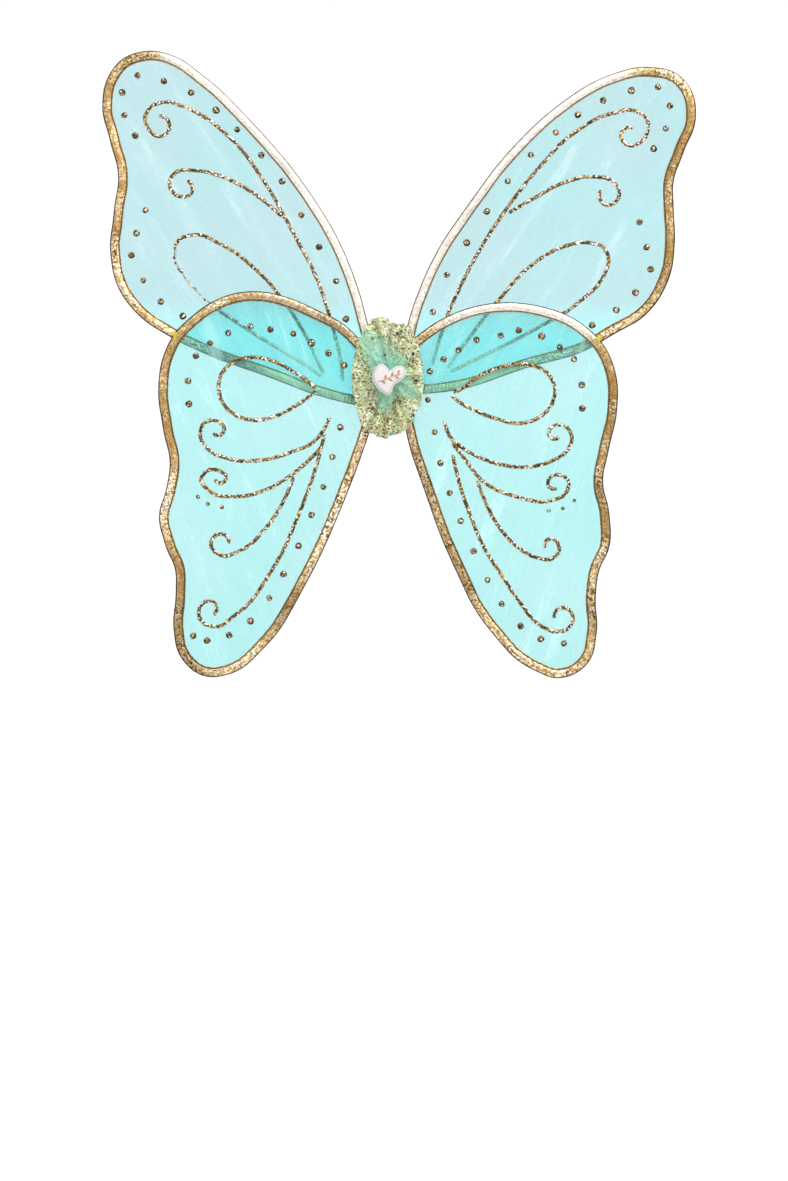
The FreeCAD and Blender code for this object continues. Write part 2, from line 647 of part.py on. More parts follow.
# ---------------------------------------------------------------- the heart
def heart_outline(inset, depth):
    """A heart with a notch at the top and a point at the foot, drawn with six arcs."""
    half = size("heart_width") / 2 - inset
    top = 11.0 - inset
    foot = 11.0 - size("heart_height") + 1.5 * inset

    def at(x, z):
        return Vector(x, depth, z)

    notch = at(0.6, 6.2 - inset)
    tip = at(0.0, foot)
    shoulder = 0.52 * half
    edges = [
        Part.Arc(notch, at(-shoulder, top), at(-half, 3.2)),
        Part.Arc(at(-half, 3.2), at(-0.63 * half, -8.0 + 0.6 * inset), tip),
        Part.Arc(tip, at(0.58 * half, -6.6 + 0.6 * inset), at(half, 3.6)),
        Part.Arc(at(half, 3.6), at(shoulder, top - 0.8), notch),
    ]
    return Part.Wire([edge.toShape() for edge in edges])


def heart_layer(label, inset, back, thickness):
    face = helper(Part.Face(heart_outline(inset, back)), label + "_outline")
    obj = doc.addObject("Part::Extrusion", label + "_layer")
    obj.Base = face
    obj.DirMode = "Custom"
    obj.Dir = Vector(0, -1, 0)
    obj.Solid = True
    bind(obj, LengthFwd=thickness)
    finish_node(obj, label)
    return obj


def build_heart():
    skin = size("heart_skin")
    filling = size("heart_filling")
    heart_layer("heart_back_panel", 0.0, HEART_BACK, "sizes.heart_skin")
    heart_layer("heart_wadding", 1.4, HEART_BACK - skin, "sizes.heart_filling")
    front = HEART_BACK - skin - filling
    heart_layer("heart_front_panel", 0.0, front, "sizes.heart_skin")
    seam = heart_outline(0.9, front - skin)
    stitches = []
    count = 26
    length = 1.7
    for index in range(count):
        point = seam.discretize(Number=count + 1)[index]
        ahead = seam.discretize(Number=8 * count + 1)[8 * index + 2]
        way = (ahead - point).normalize()
        stitch = Part.makeBox(length, 0.35, 0.4, Vector(-length / 2, -0.35, -0.2))
        turn = Rotation(Vector(1, 0, 0), way)
        stitch.Placement = Placement(point + way * 0.4, turn)
        stitches.append(stitch)
    finish_node(helper(Part.Compound(stitches), "edge_stitches"), "heart_edge_stitching")


# ---------------------------------------------------------------- arm straps
def build_strap(side, side_name):
    """An elastic loop that swings at its sewn ends, and the ends themselves."""
    x = side * size("strap_axis_x")
    y = size("strap_axis_y")
    half = size("strap_half_height")
    reach = y + size("strap_reach")
    radius = size("strap_loop_radius")
    wide = size("strap_width")
    thin = size("strap_thickness")
    start = Vector(x, y, half)
    end = Vector(x, y, -half)
    outer_top = Vector(x, reach, radius)
    outer_foot = Vector(x, reach, -radius)
    forward = Vector(0, 1, 0)
    edges = two_arcs(start, Vector(0, 0.98, 0.2).normalize(), outer_top, forward)
    edges.append(Part.Arc(outer_top, Vector(x, reach + radius, 0), outer_foot).toShape())
    edges += two_arcs(outer_foot, forward * -1, end, Vector(0, -0.98, 0.2).normalize())
    lead = Vector(0, 0.98, 0.2).normalize()
    up = Vector(1, 0, 0).cross(lead)
    corners = [(-wide / 2, -thin / 2), (wide / 2, -thin / 2), (wide / 2, thin / 2),
               (-wide / 2, thin / 2)]
    ring = [start + Vector(a, 0, 0) + up * b for a, b in corners]
    section = helper(Part.makePolygon(ring + ring[:1]), side_name + "_strap_section")
    path = helper(Part.Wire(edges), side_name + "_strap_line")
    band = sweep(section, path, side_name + "_strap_band")
    ends = []
    for number, height in enumerate((half, -half)):
        cap = doc.addObject("Part::Cylinder", "%s_strap_cap_%d" % (side_name, number))
        bind(cap, Radius="sizes.strap_width / 2", Height="sizes.strap_thickness")
        cap.Placement = Placement(Vector(x, y, height - thin / 2), Rotation())
        ends.append(cap)
    loop = doc.addObject("Part::MultiFuse", side_name + "_strap_whole")
    loop.Shapes = [band] + ends
    finish_node(loop, side_name + "_strap_loop")

    tab_length = size("strap_tab_length")
    tab_back = FELT_BACK + size("part_gap") / 4
    tabs = []
    tacks = []
    for number, way in enumerate((1, -1)):
        low = way * half - tab_length if way > 0 else way * half
        title = "%s_strap_tab_%d" % (side_name, number)
        tabs.append(block(title, "sizes.strap_width", "sizes.strap_thickness",
                          "sizes.strap_tab_length", x - wide / 2, tab_back, low))
        for row, share in enumerate((0.2, 0.8)):
            z = low + tab_length * share - size("bar_tack_height") / 2
            title = "%s_bar_tack_%d_%d" % (side_name, number, row)
            tacks.append(block(title, "sizes.bar_tack_width", "sizes.bar_tack_depth",
                               "sizes.bar_tack_height", x - size("bar_tack_width") / 2,
                               tab_back + thin, z))
    tab_group = doc.addObject("Part::Compound", side_name + "_tab_group")
    tab_group.Links = tabs
    finish_node(tab_group, side_name + "_strap_sewn_ends")
    tack_group = doc.addObject("Part::Compound", side_name + "_tack_group")
    tack_group.Links = tacks
    finish_node(tack_group, side_name + "_strap_bar_tacks")


# ---------------------------------------------------------------- assembly
upper_left = build_wing("upper_left", UPPER_LEFT)
lower_left = build_wing("lower_left", LOWER_LEFT)
upper_right = build_wing("upper_right", UPPER_RIGHT)
lower_right = build_wing("lower_right", LOWER_RIGHT)
build_crossing_tack("left", upper_left, lower_left)
build_crossing_tack("right", upper_right, lower_right)
build_pad()
build_felt()
build_root_wrap()
build_rosette()
build_heart()
build_strap(-1, "left")
build_strap(1, "right")
doc.recompute()

# ---------------------------------------------------------------- checks and files
for obj in doc.Objects:
    if "Invalid" in obj.State or "Error" in obj.State:
        raise RuntimeError("%s did not compute: %s" % (obj.Label, obj.State))
for obj in nodes:
    if obj.Shape.isNull() or not obj.Shape.isValid() or not obj.Shape.Solids:
        raise RuntimeError("%s has no valid solid" % obj.Label)

os.makedirs("parts", exist_ok=True)
for obj in nodes:
    obj.Shape.exportStep("parts/%s.step" % obj.Label)
    volume = sum(solid.Volume for solid in obj.Shape.Solids)
    print("%-28s %3d solids %9.1f mm3" % (obj.Label, len(obj.Shape.Solids), volume))
print(len(nodes), "nodes")
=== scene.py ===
# Costume butterfly wings: the looks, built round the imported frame.
import math

import bpy
import numpy as np
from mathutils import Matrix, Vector, geometry, noise
from mathutils.bvhtree import BVHTree


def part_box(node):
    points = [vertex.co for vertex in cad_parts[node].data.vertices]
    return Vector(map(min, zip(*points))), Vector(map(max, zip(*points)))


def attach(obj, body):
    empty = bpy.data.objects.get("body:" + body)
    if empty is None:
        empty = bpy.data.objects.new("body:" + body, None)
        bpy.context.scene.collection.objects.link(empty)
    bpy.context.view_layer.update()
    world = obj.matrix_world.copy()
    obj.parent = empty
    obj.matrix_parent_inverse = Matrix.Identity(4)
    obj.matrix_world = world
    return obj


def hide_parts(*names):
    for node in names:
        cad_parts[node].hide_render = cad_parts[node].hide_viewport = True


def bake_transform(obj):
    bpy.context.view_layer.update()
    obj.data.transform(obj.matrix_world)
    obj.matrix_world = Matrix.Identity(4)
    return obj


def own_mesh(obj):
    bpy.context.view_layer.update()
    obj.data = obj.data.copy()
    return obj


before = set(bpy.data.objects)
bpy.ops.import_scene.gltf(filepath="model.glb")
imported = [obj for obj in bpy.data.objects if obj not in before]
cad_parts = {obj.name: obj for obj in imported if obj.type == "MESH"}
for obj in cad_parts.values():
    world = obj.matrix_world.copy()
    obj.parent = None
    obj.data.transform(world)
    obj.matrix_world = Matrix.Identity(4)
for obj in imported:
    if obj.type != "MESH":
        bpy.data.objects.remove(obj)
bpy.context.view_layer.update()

MM = 0.001
UP = np.array([0.0, 0.0, 1.0])
SIDES = {"left": -1.0, "right": 1.0}
WINGS = ["upper_left", "lower_left", "upper_right", "lower_right"]


# ---------------- small tools
def wing_body(wing):
    return wing.split("_")[1] + "_wings"


def box_of(node):
    """A node's lowest and highest corners, and its middle and half its size."""
    low, high = (np.array(corner, float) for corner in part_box(node))
    return low, high, (low + high) / 2, (high - low) / 2


def islands(node):
    """The vertices of each separate solid of a CAD node."""
    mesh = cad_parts[node].data
    points = np.array([v.co for v in mesh.vertices], float)
    key = {}
    same = np.array([key.setdefault(tuple(np.round(p, 6)), len(key)) for p in points])
    root = list(range(len(key)))

    def find(i):
        while root[i] != i:
            root[i] = root[root[i]]
            i = root[i]
        return i

    for polygon in mesh.polygons:
        corners = same[list(polygon.vertices)]
        for a, b in zip(corners, corners[1:]):
            root[find(a)] = find(b)
    groups = {}
    for index, k in enumerate(same):
        groups.setdefault(find(k), []).append(index)
    return [points[group] for group in groups.values()]


def smooth_step(value, low, high):
    t = np.clip((value - low) / (high - low), 0.0, 1.0)
    return t * t * (3 - 2 * t)


def wobble(x, y, z, scale):
    """Smooth noise from about -1 to 1 at a place given in metres; scale is its size."""
    return noise.noise(Vector((x / scale, y / scale, z / scale)))


def place(name, data):
    """A new object in the scene."""
    obj = bpy.data.objects.new(name, data)
    bpy.context.scene.collection.objects.link(obj)
    return obj


def set_look(mesh, look):
    mesh.materials.clear()
    mesh.materials.append(M[look])


def set_attribute(mesh, name, values):
    mesh.attributes.new(name, "FLOAT", "POINT").data.foreach_set(
        "value", np.asarray(values, np.float32))


def set_smooth(mesh, smooth=True):
    mesh.polygons.foreach_set("use_smooth", [smooth] * len(mesh.polygons))
    mesh.update()


def move_points(mesh, points):
    mesh.vertices.foreach_set("co", np.asarray(points, np.float32).ravel())
    set_smooth(mesh)


def new_object(name, points, faces, look, smooth=True, **attributes):
    mesh = bpy.data.meshes.new(name)
    mesh.from_pydata([tuple(p) for p in points], [], [tuple(f) for f in faces])
    mesh.validate()
    for key, values in attributes.items():
        set_attribute(mesh, key, values)
    set_look(mesh, look)
    set_smooth(mesh, smooth)
    return place(name, mesh)


def finish_piece(obj, body, slot, *nodes):
    """Put a finished piece on its body and hide the CAD nodes it stands for; its slot is not used.
    """
    if body:
        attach(obj, body)
    if nodes:
        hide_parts(*nodes)
    return obj


def joined_piece(name, parts, look, body, slot, *nodes, smooth=True, **attributes):
    """One finished piece from several lists of points and faces."""
    points, faces = [], []
    for some_points, some_faces in parts:
        faces += [tuple(len(points) + i for i in face) for face in some_faces]
        points += list(some_points)
    return finish_piece(new_object(name, points, faces, look, smooth, **attributes),
                        body, slot, *nodes)


def apply_modifiers(obj):
    """Replace an object's mesh by its evaluated one."""
    bpy.context.view_layer.update()
    graph = bpy.context.evaluated_depsgraph_get()
    made = bpy.data.meshes.new_from_object(obj.evaluated_get(graph))
    obj.modifiers.clear()
    obj.data = made


def voxel_remesh(obj, size):
    remesh = obj.modifiers.new("remesh", "REMESH")
    remesh.mode = "VOXEL"
    remesh.voxel_size = size
    apply_modifiers(obj)


def vertices_of(mesh):
    return np.array([v.co for v in mesh.vertices])


def circle(count, turns=1):
    """Angles at even steps; the last one, which closes the circle, is left out."""
    return [2 * math.pi * k / count for k in range(count * turns)]


def tube_faces(rings, around, cap=True):
    """Faces of a tube whose rings are stored one after another."""
    faces = [(i + j, i + (j + 1) % around, i + around + (j + 1) % around, i + around + j)
             for i in range(0, (rings - 1) * around, around) for j in range(around)]
    if cap:
        faces += [range(around)[::-1], range((rings - 1) * around, rings * around)]
    return faces


def along_line(line, step):
    """A line's points again at even steps."""
    line = np.asarray(line, float)
    lengths = np.concatenate([[0], np.cumsum(np.linalg.norm(np.diff(line, axis=0), axis=1))])
    at = np.linspace(0, lengths[-1], max(2, int(round(lengths[-1] / step)) + 1))
    return np.stack([np.interp(at, lengths, axis) for axis in line.T], 1)


def soften(line, passes):
    """Average a line's inner points with their neighbours."""
    line = line.copy()
    for _ in range(passes):
        line[1:-1] = (line[:-2] + 2 * line[1:-1] + line[2:]) / 4
    return line


def through(knots, per_span=10):
    """A smooth line through the given points."""
    knots = np.asarray(knots, float)
    ends = np.concatenate([[2 * knots[0] - knots[1]], knots, [2 * knots[-1] - knots[-2]]])
    out = []
    for p0, p1, p2, p3 in zip(ends, ends[1:], ends[2:], ends[3:]):
        d01, d12, d23 = (max(np.linalg.norm(b - a), 1e-9) ** 0.5 for a, b in
                         ((p0, p1), (p1, p2), (p2, p3)))
        m1 = (p2 - p1) + d12 * ((p1 - p0) / d01 - (p2 - p0) / (d01 + d12))
        m2 = (p2 - p1) + d12 * ((p3 - p2) / d23 - (p3 - p1) / (d12 + d23))
        for t in np.linspace(0, 1, per_span, endpoint=False):
            out.append((2 * t**3 - 3 * t**2 + 1) * p1 + (t**3 - 2 * t**2 + t) * m1
                       + (-2 * t**3 + 3 * t**2) * p2 + (t**3 - t**2) * m2)
    return np.array(out + [knots[-1]])


def line_ways(line):
    ways = np.gradient(line, axis=0)
    return ways / np.linalg.norm(ways, axis=1)[:, None]


def round_tube(line, radius, around=8):
    """Points and faces of a round thread or cord that follows a line in space."""
    line = np.asarray(line, float)
    ways = line_ways(line)
    normal = np.cross(ways[0], UP)
    if np.linalg.norm(normal) < 0.2:
        normal = np.cross(ways[0], np.array([1.0, 0, 0]))
    normal /= np.linalg.norm(normal)
    points = []
    for point, way in zip(line, ways):
        normal = normal - way * normal.dot(way)
        normal /= np.linalg.norm(normal)
        other = np.cross(way, normal)
        points += [point + radius * (math.cos(a) * normal + math.sin(a) * other)
                   for a in circle(around)]
    return points, tube_faces(len(line), around)


def surface_tree(*objects):
    """A search tree over the faces of several meshes."""
    points, faces = [], []
    for obj in objects:
        faces += [[len(points) + i for i in p.vertices] for p in obj.data.polygons]
        points += [obj.matrix_world @ v.co for v in obj.data.vertices]
    return BVHTree.FromPolygons(points, faces)


def depth_at(tree, x, z, fallback, side=-1):
    """How deep a surface lies at a place, looked for from the front or, with side 1, the back."""
    hit = tree.ray_cast(Vector((x, side, z)), Vector((0, -side, 0)))
    return hit[0].y if hit[0] else fallback


# ---------------- materials
class Nodes:
    """Short names for making a node material."""

    def __init__(self, name):
        self.material = bpy.data.materials.new(name)
        self.material.use_nodes = True
        self.tree = self.material.node_tree
        self.tree.nodes.clear()
        self.at = self.add("TexCoord").outputs["Object"]

    def fill(self, socket, value):
        """Give a socket a number, a vector, a colour or another node's output."""
        if isinstance(value, bpy.types.NodeSocket):
            self.tree.links.new(value, socket)
        elif socket.type == "RGBA":
            socket.default_value = (*value, 1)
        else:
            socket.default_value = value

    def add(self, kind, inputs=None, **settings):
        """A node with its settings, and its inputs by name or number."""
        node = self.tree.nodes.new("ShaderNode" + kind)
        for key, value in settings.items():
            setattr(node, key, value)
        for key, value in (inputs or {}).items():
            self.fill(node.inputs[key], value)
        return node

    def turned(self, angles):
        return self.add("Mapping", {"Vector": self.at, "Rotation": angles}).outputs[0]

    def noise(self, scale, detail=2.0, roughness=0.5, distortion=0.0, at=None):
        return self.add("TexNoise", {"Vector": at or self.at, "Scale": scale, "Detail": detail,
                                     "Roughness": roughness,
                                     "Distortion": distortion}).outputs["Fac"]

    def flakes(self, scale):
        """Three random numbers for each cell of a pattern."""
        cells = self.add("TexVoronoi", {"Vector": self.at, "Scale": scale})
        return self.add("SeparateColor", {0: cells.outputs["Color"]}).outputs

    def wave(self, scale, direction="X", distortion=0.0, detail=0.0, at=None):
        return self.add("TexWave", {"Vector": at or self.at, "Scale": scale,
                                    "Distortion": distortion, "Detail": detail},
                        bands_direction=direction).outputs["Fac"]

    def ramp(self, value, *stops, interpolation="LINEAR"):
        """Colours, or greys given as one number, at places from 0 to 1."""
        ramp = self.add("ValToRGB", {"Fac": value})
        ramp.color_ramp.interpolation = interpolation
        elements = ramp.color_ramp.elements
        elements.remove(elements[-1])
        for count, (position, tone) in enumerate(stops):
            element = elements.new(position) if count else elements[0]
            element.position = position
            element.color = (*(tone if isinstance(tone, tuple) else (tone,) * 3), 1)
        return ramp.outputs["Color"]

    def math(self, operation, a, b):
        return self.add("Math", {0: a, 1: b}, operation=operation).outputs[0]

    def mix(self, factor, a, b, blend="MIX"):
        """Two colours mixed."""
        node = self.add("Mix", data_type="RGBA", blend_type=blend)
        for name, value in (("Factor", factor), ("A", a), ("B", b)):
            self.fill(next(s for s in node.inputs if s.name == name and s.enabled), value)
        return next(s for s in node.outputs if s.enabled)

    def times(self, a, b):
        return self.mix(1.0, a, b, "MULTIPLY")

    def bump(self, height, strength, distance, under=None):
        inputs = {"Height": height, "Strength": strength, "Distance": distance}
        return self.add("Bump", {**inputs, "Normal": under} if under else inputs).outputs[0]

    def attribute(self, name):
        return self.add("Attribute", attribute_name=name).outputs["Fac"]

    def principled(self, colour, roughness, metallic, normal=None, **more):
        inputs = {"Base Color": colour, "Roughness": roughness, "Metallic": metallic}
        if normal:
            inputs["Normal"] = normal
        inputs.update((name.replace("_", " "), value) for name, value in more.items())
        return self.add("BsdfPrincipled", inputs).outputs[0]

    def mix_shaders(self, amount, a, b):
        return self.add("MixShader", {"Fac": amount, 1: a, 2: b}).outputs[0]

    def see_through(self, tint, shader, amount):
        """Mix a shader with a tinted view of what is behind; amount is the shader's share."""
        clear = self.add("BsdfTransparent", {"Color": tint})
        return self.mix_shaders(amount, clear.outputs[0], shader)

    def done(self, shader):
        self.add("OutputMaterial", {"Surface": shader})
        return self.material


def shaded(colour, share):
    """A colour made darker or lighter, no channel above 1."""
    return tuple(min(1.0, c * share) for c in colour)


def gold_lame():
    """Crinkled foil cloth: fine weave and creases, with painted shade, painted glints and painted
    patches of light in its colour.
    """
    n = Nodes("gold_lame")
    crease = n.noise(330.0, 4.0, 0.66, 0.8)
    grain = n.flakes(760.0)
    patch = n.noise(30.0)
    # painted shade and glints: dark brown in the crease hollows, near white on their crests
    base = n.ramp(crease, (0.34, (0.20, 0.105, 0.022)), (0.44, (0.44, 0.27, 0.08)),
                  (0.53, (0.74, 0.54, 0.25)), (0.62, (1.0, 0.90, 0.70)))
    # random flecks: the darkest are painted shade and the near-white ones painted glints
    speck = n.ramp(grain[0], (0.0, (0.09, 0.042, 0.008)), (0.18, (0.30, 0.17, 0.04)),
                   (0.40, (0.68, 0.48, 0.20)), (0.64, (0.98, 0.86, 0.64)),
                   (0.82, (1.0, 0.98, 0.94)), interpolation="CONSTANT")
    # painted light: random broad patches, lighter and darker, in place of the bright and dark zones
    # light makes on foil
    painted_light_patches = n.ramp(n.noise(11.0, 1.0, 0.4), (0.38, (0.56, 0.50, 0.40)),
                  (0.50, (0.90, 0.86, 0.77)), (0.62, 1.15))
    colour = n.times(n.mix(n.ramp(patch, (0.40, 0.30), (0.58, 0.90)), base, speck), painted_light_patches)
    # Painted light from the binding's attributes: near-white painted highlight, brown painted shade
    # on edges that face aside, and creamy painted light next to the upper wings' root.
    for name, start, end, most, tone in (("painted_highlight", 0.10, 0.9, 0.66, (1.0, 0.98, 0.94)),
                                         ("painted_root_light", 0.0, 1.0, 0.92, (1.0, 0.78, 0.42)),
                                         ("painted_side_shade", 0.10, 0.9, 0.68, (0.36, 0.20, 0.05))):
        colour = n.mix(n.ramp(n.attribute(name), (start, 0.0), (end, most)), colour, tone)
    # painted shade: a dark line along the stitched groove near the inner edge, and another along the
    # bead's outer rim
    lines = n.ramp(n.attribute("edge"), (0.0, (0.90, 0.80, 0.62)), (0.04, (0.90, 0.80, 0.62)),
                   (0.055, (0.07, 0.03, 0.006)), (0.165, (0.07, 0.03, 0.006)), (0.185, 1.0),
                   (0.86, 1.0), (0.885, (0.12, 0.055, 0.012)), (1.0, (0.10, 0.04, 0.01)))
    rough = n.ramp(patch, (0.3, 0.24), (0.7, 0.40))
    normal = n.bump(crease, 0.7, 0.0012, n.bump(grain[1], 0.6, 0.0005))
    return n.done(n.principled(n.times(colour, lines), rough, 0.9, normal))


def glitter():
    """Loose flakes set in glue: each one its own colour and its own slope."""
    n = Nodes("gold_glitter")
    flakes = n.flakes(780.0)
    colour = n.ramp(flakes[0], *GOLD_FLAKES, interpolation="CONSTANT")
    rim = n.ramp(n.attribute("rim"), (0.0, 1.0), (0.35, 1.0), (0.7, (0.36, 0.27, 0.16)),
                 (0.9, (0.5, 0.42, 0.3)))
    # painted light: paler gold glitter low down on the upper wings, where the lower wings' cloth
    # shades it
    painted_low_light = n.ramp(n.attribute("painted_low_light"), (0.0, 0.0), (1.0, 0.62))
    colour = n.mix(painted_low_light, n.times(colour, rim), (1.0, 0.94, 0.74))
    rough = n.ramp(flakes[2], (0.0, 0.16), (1.0, 0.5))
    return n.done(n.principled(colour, rough, 0.45, n.bump(flakes[1], 0.9, 0.0005)))


def organza(wing, tint, cloth, share, lean, foot=None):
    """Sheer woven cloth with a pearly sheen in soft slanting streaks."""
    n = Nodes("aqua_organza_" + wing)
    lean = math.radians(lean if wing.endswith("left") else -lean)
    slanted = n.add("Mapping", {"Vector": n.turned((0.0, lean, 0.0)), "Scale": (1.0, 1.0, 0.14)})
    streak = n.noise(60.0, 4.0, 0.6, 0.3, slanted.outputs[0])
    weave = n.math("MULTIPLY", n.wave(420.0, "X"), n.wave(420.0, "Z"))
    see = n.ramp(n.noise(9.0, 1.0, 0.5), (0.35, tint[0]), (0.65, tint[1]))
    if foot:
        # painted light: the cloth lets more through low down, to brighten where it lies over the
        # lower wings
        height = n.math("MULTIPLY", n.add("SeparateXYZ", {0: n.at}).outputs[2], 10.0)
        see = n.mix(n.ramp(height, (0.40, 1.0), (0.72, 0.0)), see, foot)
    tone = n.ramp(streak, (0.35, cloth[0]), (0.55, cloth[1]), (0.72, cloth[2]))
    normal = n.bump(weave, 0.15, 0.0001, n.bump(streak, 0.3, 0.002))
    skin = n.principled(tone, 0.42, 0.0, normal, Sheen_Weight=0.35, Sheen_Roughness=0.4,
                        Specular_IOR_Level=0.35)
    back = n.add("BsdfTranslucent", {"Color": tone}).outputs[0]
    amount = n.ramp(streak, (0.42, share), (0.55, share + 0.06), (0.68, share + 0.22))
    return n.done(n.see_through(see, n.mix_shaders(0.5, skin, back), amount))


def tulle(name, stops, share, tint, flake, metallic, deep=None):
    """Net with glitter dust, gathered, partly see-through; deep is its colour where pinched."""
    n = Nodes(name)
    flakes = n.flakes(flake)
    shade = n.ramp(n.noise(120.0, 3.0, 0.6), (0.3, (0.80, 0.82, 0.78)), (0.62, 1.0))
    colour = n.times(n.ramp(flakes[0], *stops, interpolation="CONSTANT"), shade)
    holes = n.ramp(n.noise(260.0, 2.0, 0.6), (0.38, share - 0.12), (0.6, share + 0.10))
    if deep:
        out = n.attribute("out")
        colour = n.mix(n.ramp(out, (0.15, 0.7), (0.6, 0.0)), colour, deep)
        holes = n.math("MULTIPLY", holes, n.ramp(out, (0.30, 1.0), (1.0, 0.30)))
    skin = n.principled(colour, 0.42, metallic, n.bump(flakes[1], 0.8, 0.0004), Sheen_Weight=0.3)
    return n.done(n.see_through(tint, skin, holes))


def cotton(name, colour, pitch=900.0, shade=0.82):
    """Plain woven cloth."""
    n = Nodes(name)
    warp, weft = (n.math("MULTIPLY", n.wave(pitch, way, 0.6, 1.0), 0.5) for way in "XZ")
    weave = n.math("ADD", warp, weft)
    mottle = n.noise(180.0, 4.0, 0.6)
    tone = n.mix(mottle, shaded(colour, shade), colour)
    tone = n.mix(n.math("MULTIPLY", weave, 0.25), tone, shaded(colour, 1.06))
    normal = n.bump(weave, 0.35, 0.0002, n.bump(mottle, 0.2, 0.0006))
    return n.done(n.principled(tone, 0.85, 0.0, normal, Sheen_Weight=0.2))


def felt(name, colour):
    """Pressed fibre with a fuzzy, uneven surface."""
    n = Nodes(name)
    fibre = n.noise(900.0, 6.0, 0.75, 1.2)
    tone = n.mix(fibre, shaded(colour, 0.7), shaded(colour, 1.12))
    cloud = n.math("MULTIPLY", n.noise(70.0, 3.0), 0.3)
    return n.done(n.principled(n.mix(cloud, tone, shaded(colour, 0.86)), 0.95, 0.0,
                               n.bump(fibre, 0.6, 0.0005), Sheen_Weight=0.5, Sheen_Roughness=0.6))


def thread(name, colour, metallic=0.0, rough=0.55):
    """Twisted sewing thread."""
    n = Nodes(name)
    ply = n.wave(1400.0, "DIAGONAL", 1.5, 1.0, n.turned((0.6, 0.5, 0.4)))
    return n.done(n.principled(n.mix(ply, shaded(colour, 0.62), colour), rough, metallic,
                               n.bump(ply, 0.5, 0.0002), Sheen_Weight=0.25))


def steel():
    """Drawn wire with fine scratches."""
    n = Nodes("wire_steel")
    scratch = n.noise(1600.0, 3.0, 0.7)
    tone = n.ramp(scratch, (0.3, (0.42, 0.42, 0.43)), (0.7, (0.70, 0.70, 0.71)))
    rough = n.ramp(scratch, (0.3, 0.24), (0.7, 0.4))
    return n.done(n.principled(tone, rough, 1.0, n.bump(scratch, 0.15, 0.0001)))


def elastic(colour):
    """Ribbed woven elastic."""
    n = Nodes("strap_elastic")
    ribs = n.wave(520.0)
    picks = n.noise(1500.0, 3.0, 0.6)
    tone = n.mix(ribs, shaded(colour, 0.72), colour)
    tone = n.mix(n.math("MULTIPLY", picks, 0.35), tone, shaded(colour, 0.8))
    normal = n.bump(picks, 0.4, 0.0002, n.bump(ribs, 0.5, 0.0004))
    return n.done(n.principled(tone, 0.7, 0.0, normal, Sheen_Weight=0.2))


def sequin():
    """Small dark discs, a few of them gold."""
    n = Nodes("sequin")
    tone = n.ramp(n.noise(160.0, 0.0), (0.50, (0.015, 0.025, 0.015)), (0.62, (0.10, 0.07, 0.02)),
                  (0.72, (0.45, 0.34, 0.10)))
    return n.done(n.principled(tone, 0.3, 0.5))


def studio():
    """Pale paper."""
    n = Nodes("studio_paper")
    return n.done(n.principled(n.mix(n.noise(1.6), (0.86,) * 3, (0.92,) * 3), 0.9, 0.0))


GOLD_FLAKES = [(0.0, (0.05, 0.024, 0.006)), (0.36, (0.16, 0.08, 0.018)), (0.58, (0.40, 0.24, 0.07)),
               (0.74, (0.72, 0.54, 0.26)), (0.87, (1.0, 0.97, 0.90))]
# What each pair of cloths lets through, in its two shades, and its own colour in three.
UPPER_TINT = ((0.70, 0.875, 0.88), (0.735, 0.865, 0.875))
UPPER_FOOT = (0.70, 0.985, 1.0)     # the upper cloth's tint low down, near the centre: clearer, painted light that brightens where it lies over the lower wings
UPPER_CLOTH = ((0.46, 0.68, 0.70), (0.60, 0.80, 0.82), (0.86, 0.96, 0.97))
LOWER_TINT = ((0.705, 0.905, 0.895), (0.74, 0.91, 0.90))
LOWER_CLOTH = ((0.38, 0.80, 0.82), (0.50, 0.88, 0.89), (0.80, 0.98, 0.98))
RUFFLE_FLAKES = [(0.0, (0.15, 0.075, 0.012)), (0.15, (0.46, 0.31, 0.08)), (0.29, (0.62, 0.63, 0.28)),
                 (0.50, (0.69, 0.79, 0.45)), (0.72, (0.85, 0.91, 0.63)), (0.86, (1.0, 1.0, 0.93))]
MINT_FLAKES = [(0.0, (0.42, 0.78, 0.64)), (0.25, (0.52, 0.87, 0.74)), (0.7, (0.66, 0.94, 0.82)),
               (0.92, (0.92, 1.0, 0.96))]

M = {
    "lame": gold_lame(),
    "glitter": glitter(),
    "gold_tulle": tulle("gold_tulle", RUFFLE_FLAKES, 0.86, (0.85, 0.92, 0.76), 720.0, 0.1),
    "mint_tulle": tulle("mint_tulle", MINT_FLAKES, 0.46, (0.84, 0.98, 0.92), 600.0, 0.0,
                        (0.14, 0.60, 0.52)),
    "heart": cotton("heart_cotton", (0.72, 0.68, 0.665), shade=0.90),
    "pad": cotton("pad_cotton", (0.55, 0.82, 0.74), 800.0),
    "felt": felt("mint_felt", (0.46, 0.76, 0.66)),
    "yellow": thread("yellow_thread", (0.93, 0.76, 0.0)),
    "white": thread("white_thread", (0.82, 0.82, 0.78)),
    "grey": thread("grey_thread", (0.26, 0.26, 0.30)),
    "orange": thread("orange_thread", (0.68, 0.26, 0.04)),
    "gold_thread": thread("gold_thread", (0.60, 0.38, 0.12), metallic=0.5, rough=0.35),
    "teal": thread("teal_thread", (0.12, 0.50, 0.42)),
    "steel": steel(),
    "elastic": elastic((0.50, 0.80, 0.70)),
    "sequin": sequin(),
    "paper": studio(),
}
for wing in WINGS:
    M[wing] = (organza(wing, UPPER_TINT, UPPER_CLOTH, 0.07, 33, UPPER_FOOT)
               if wing.startswith("upper") else organza(wing, LOWER_TINT, LOWER_CLOTH, 0.12, 20))


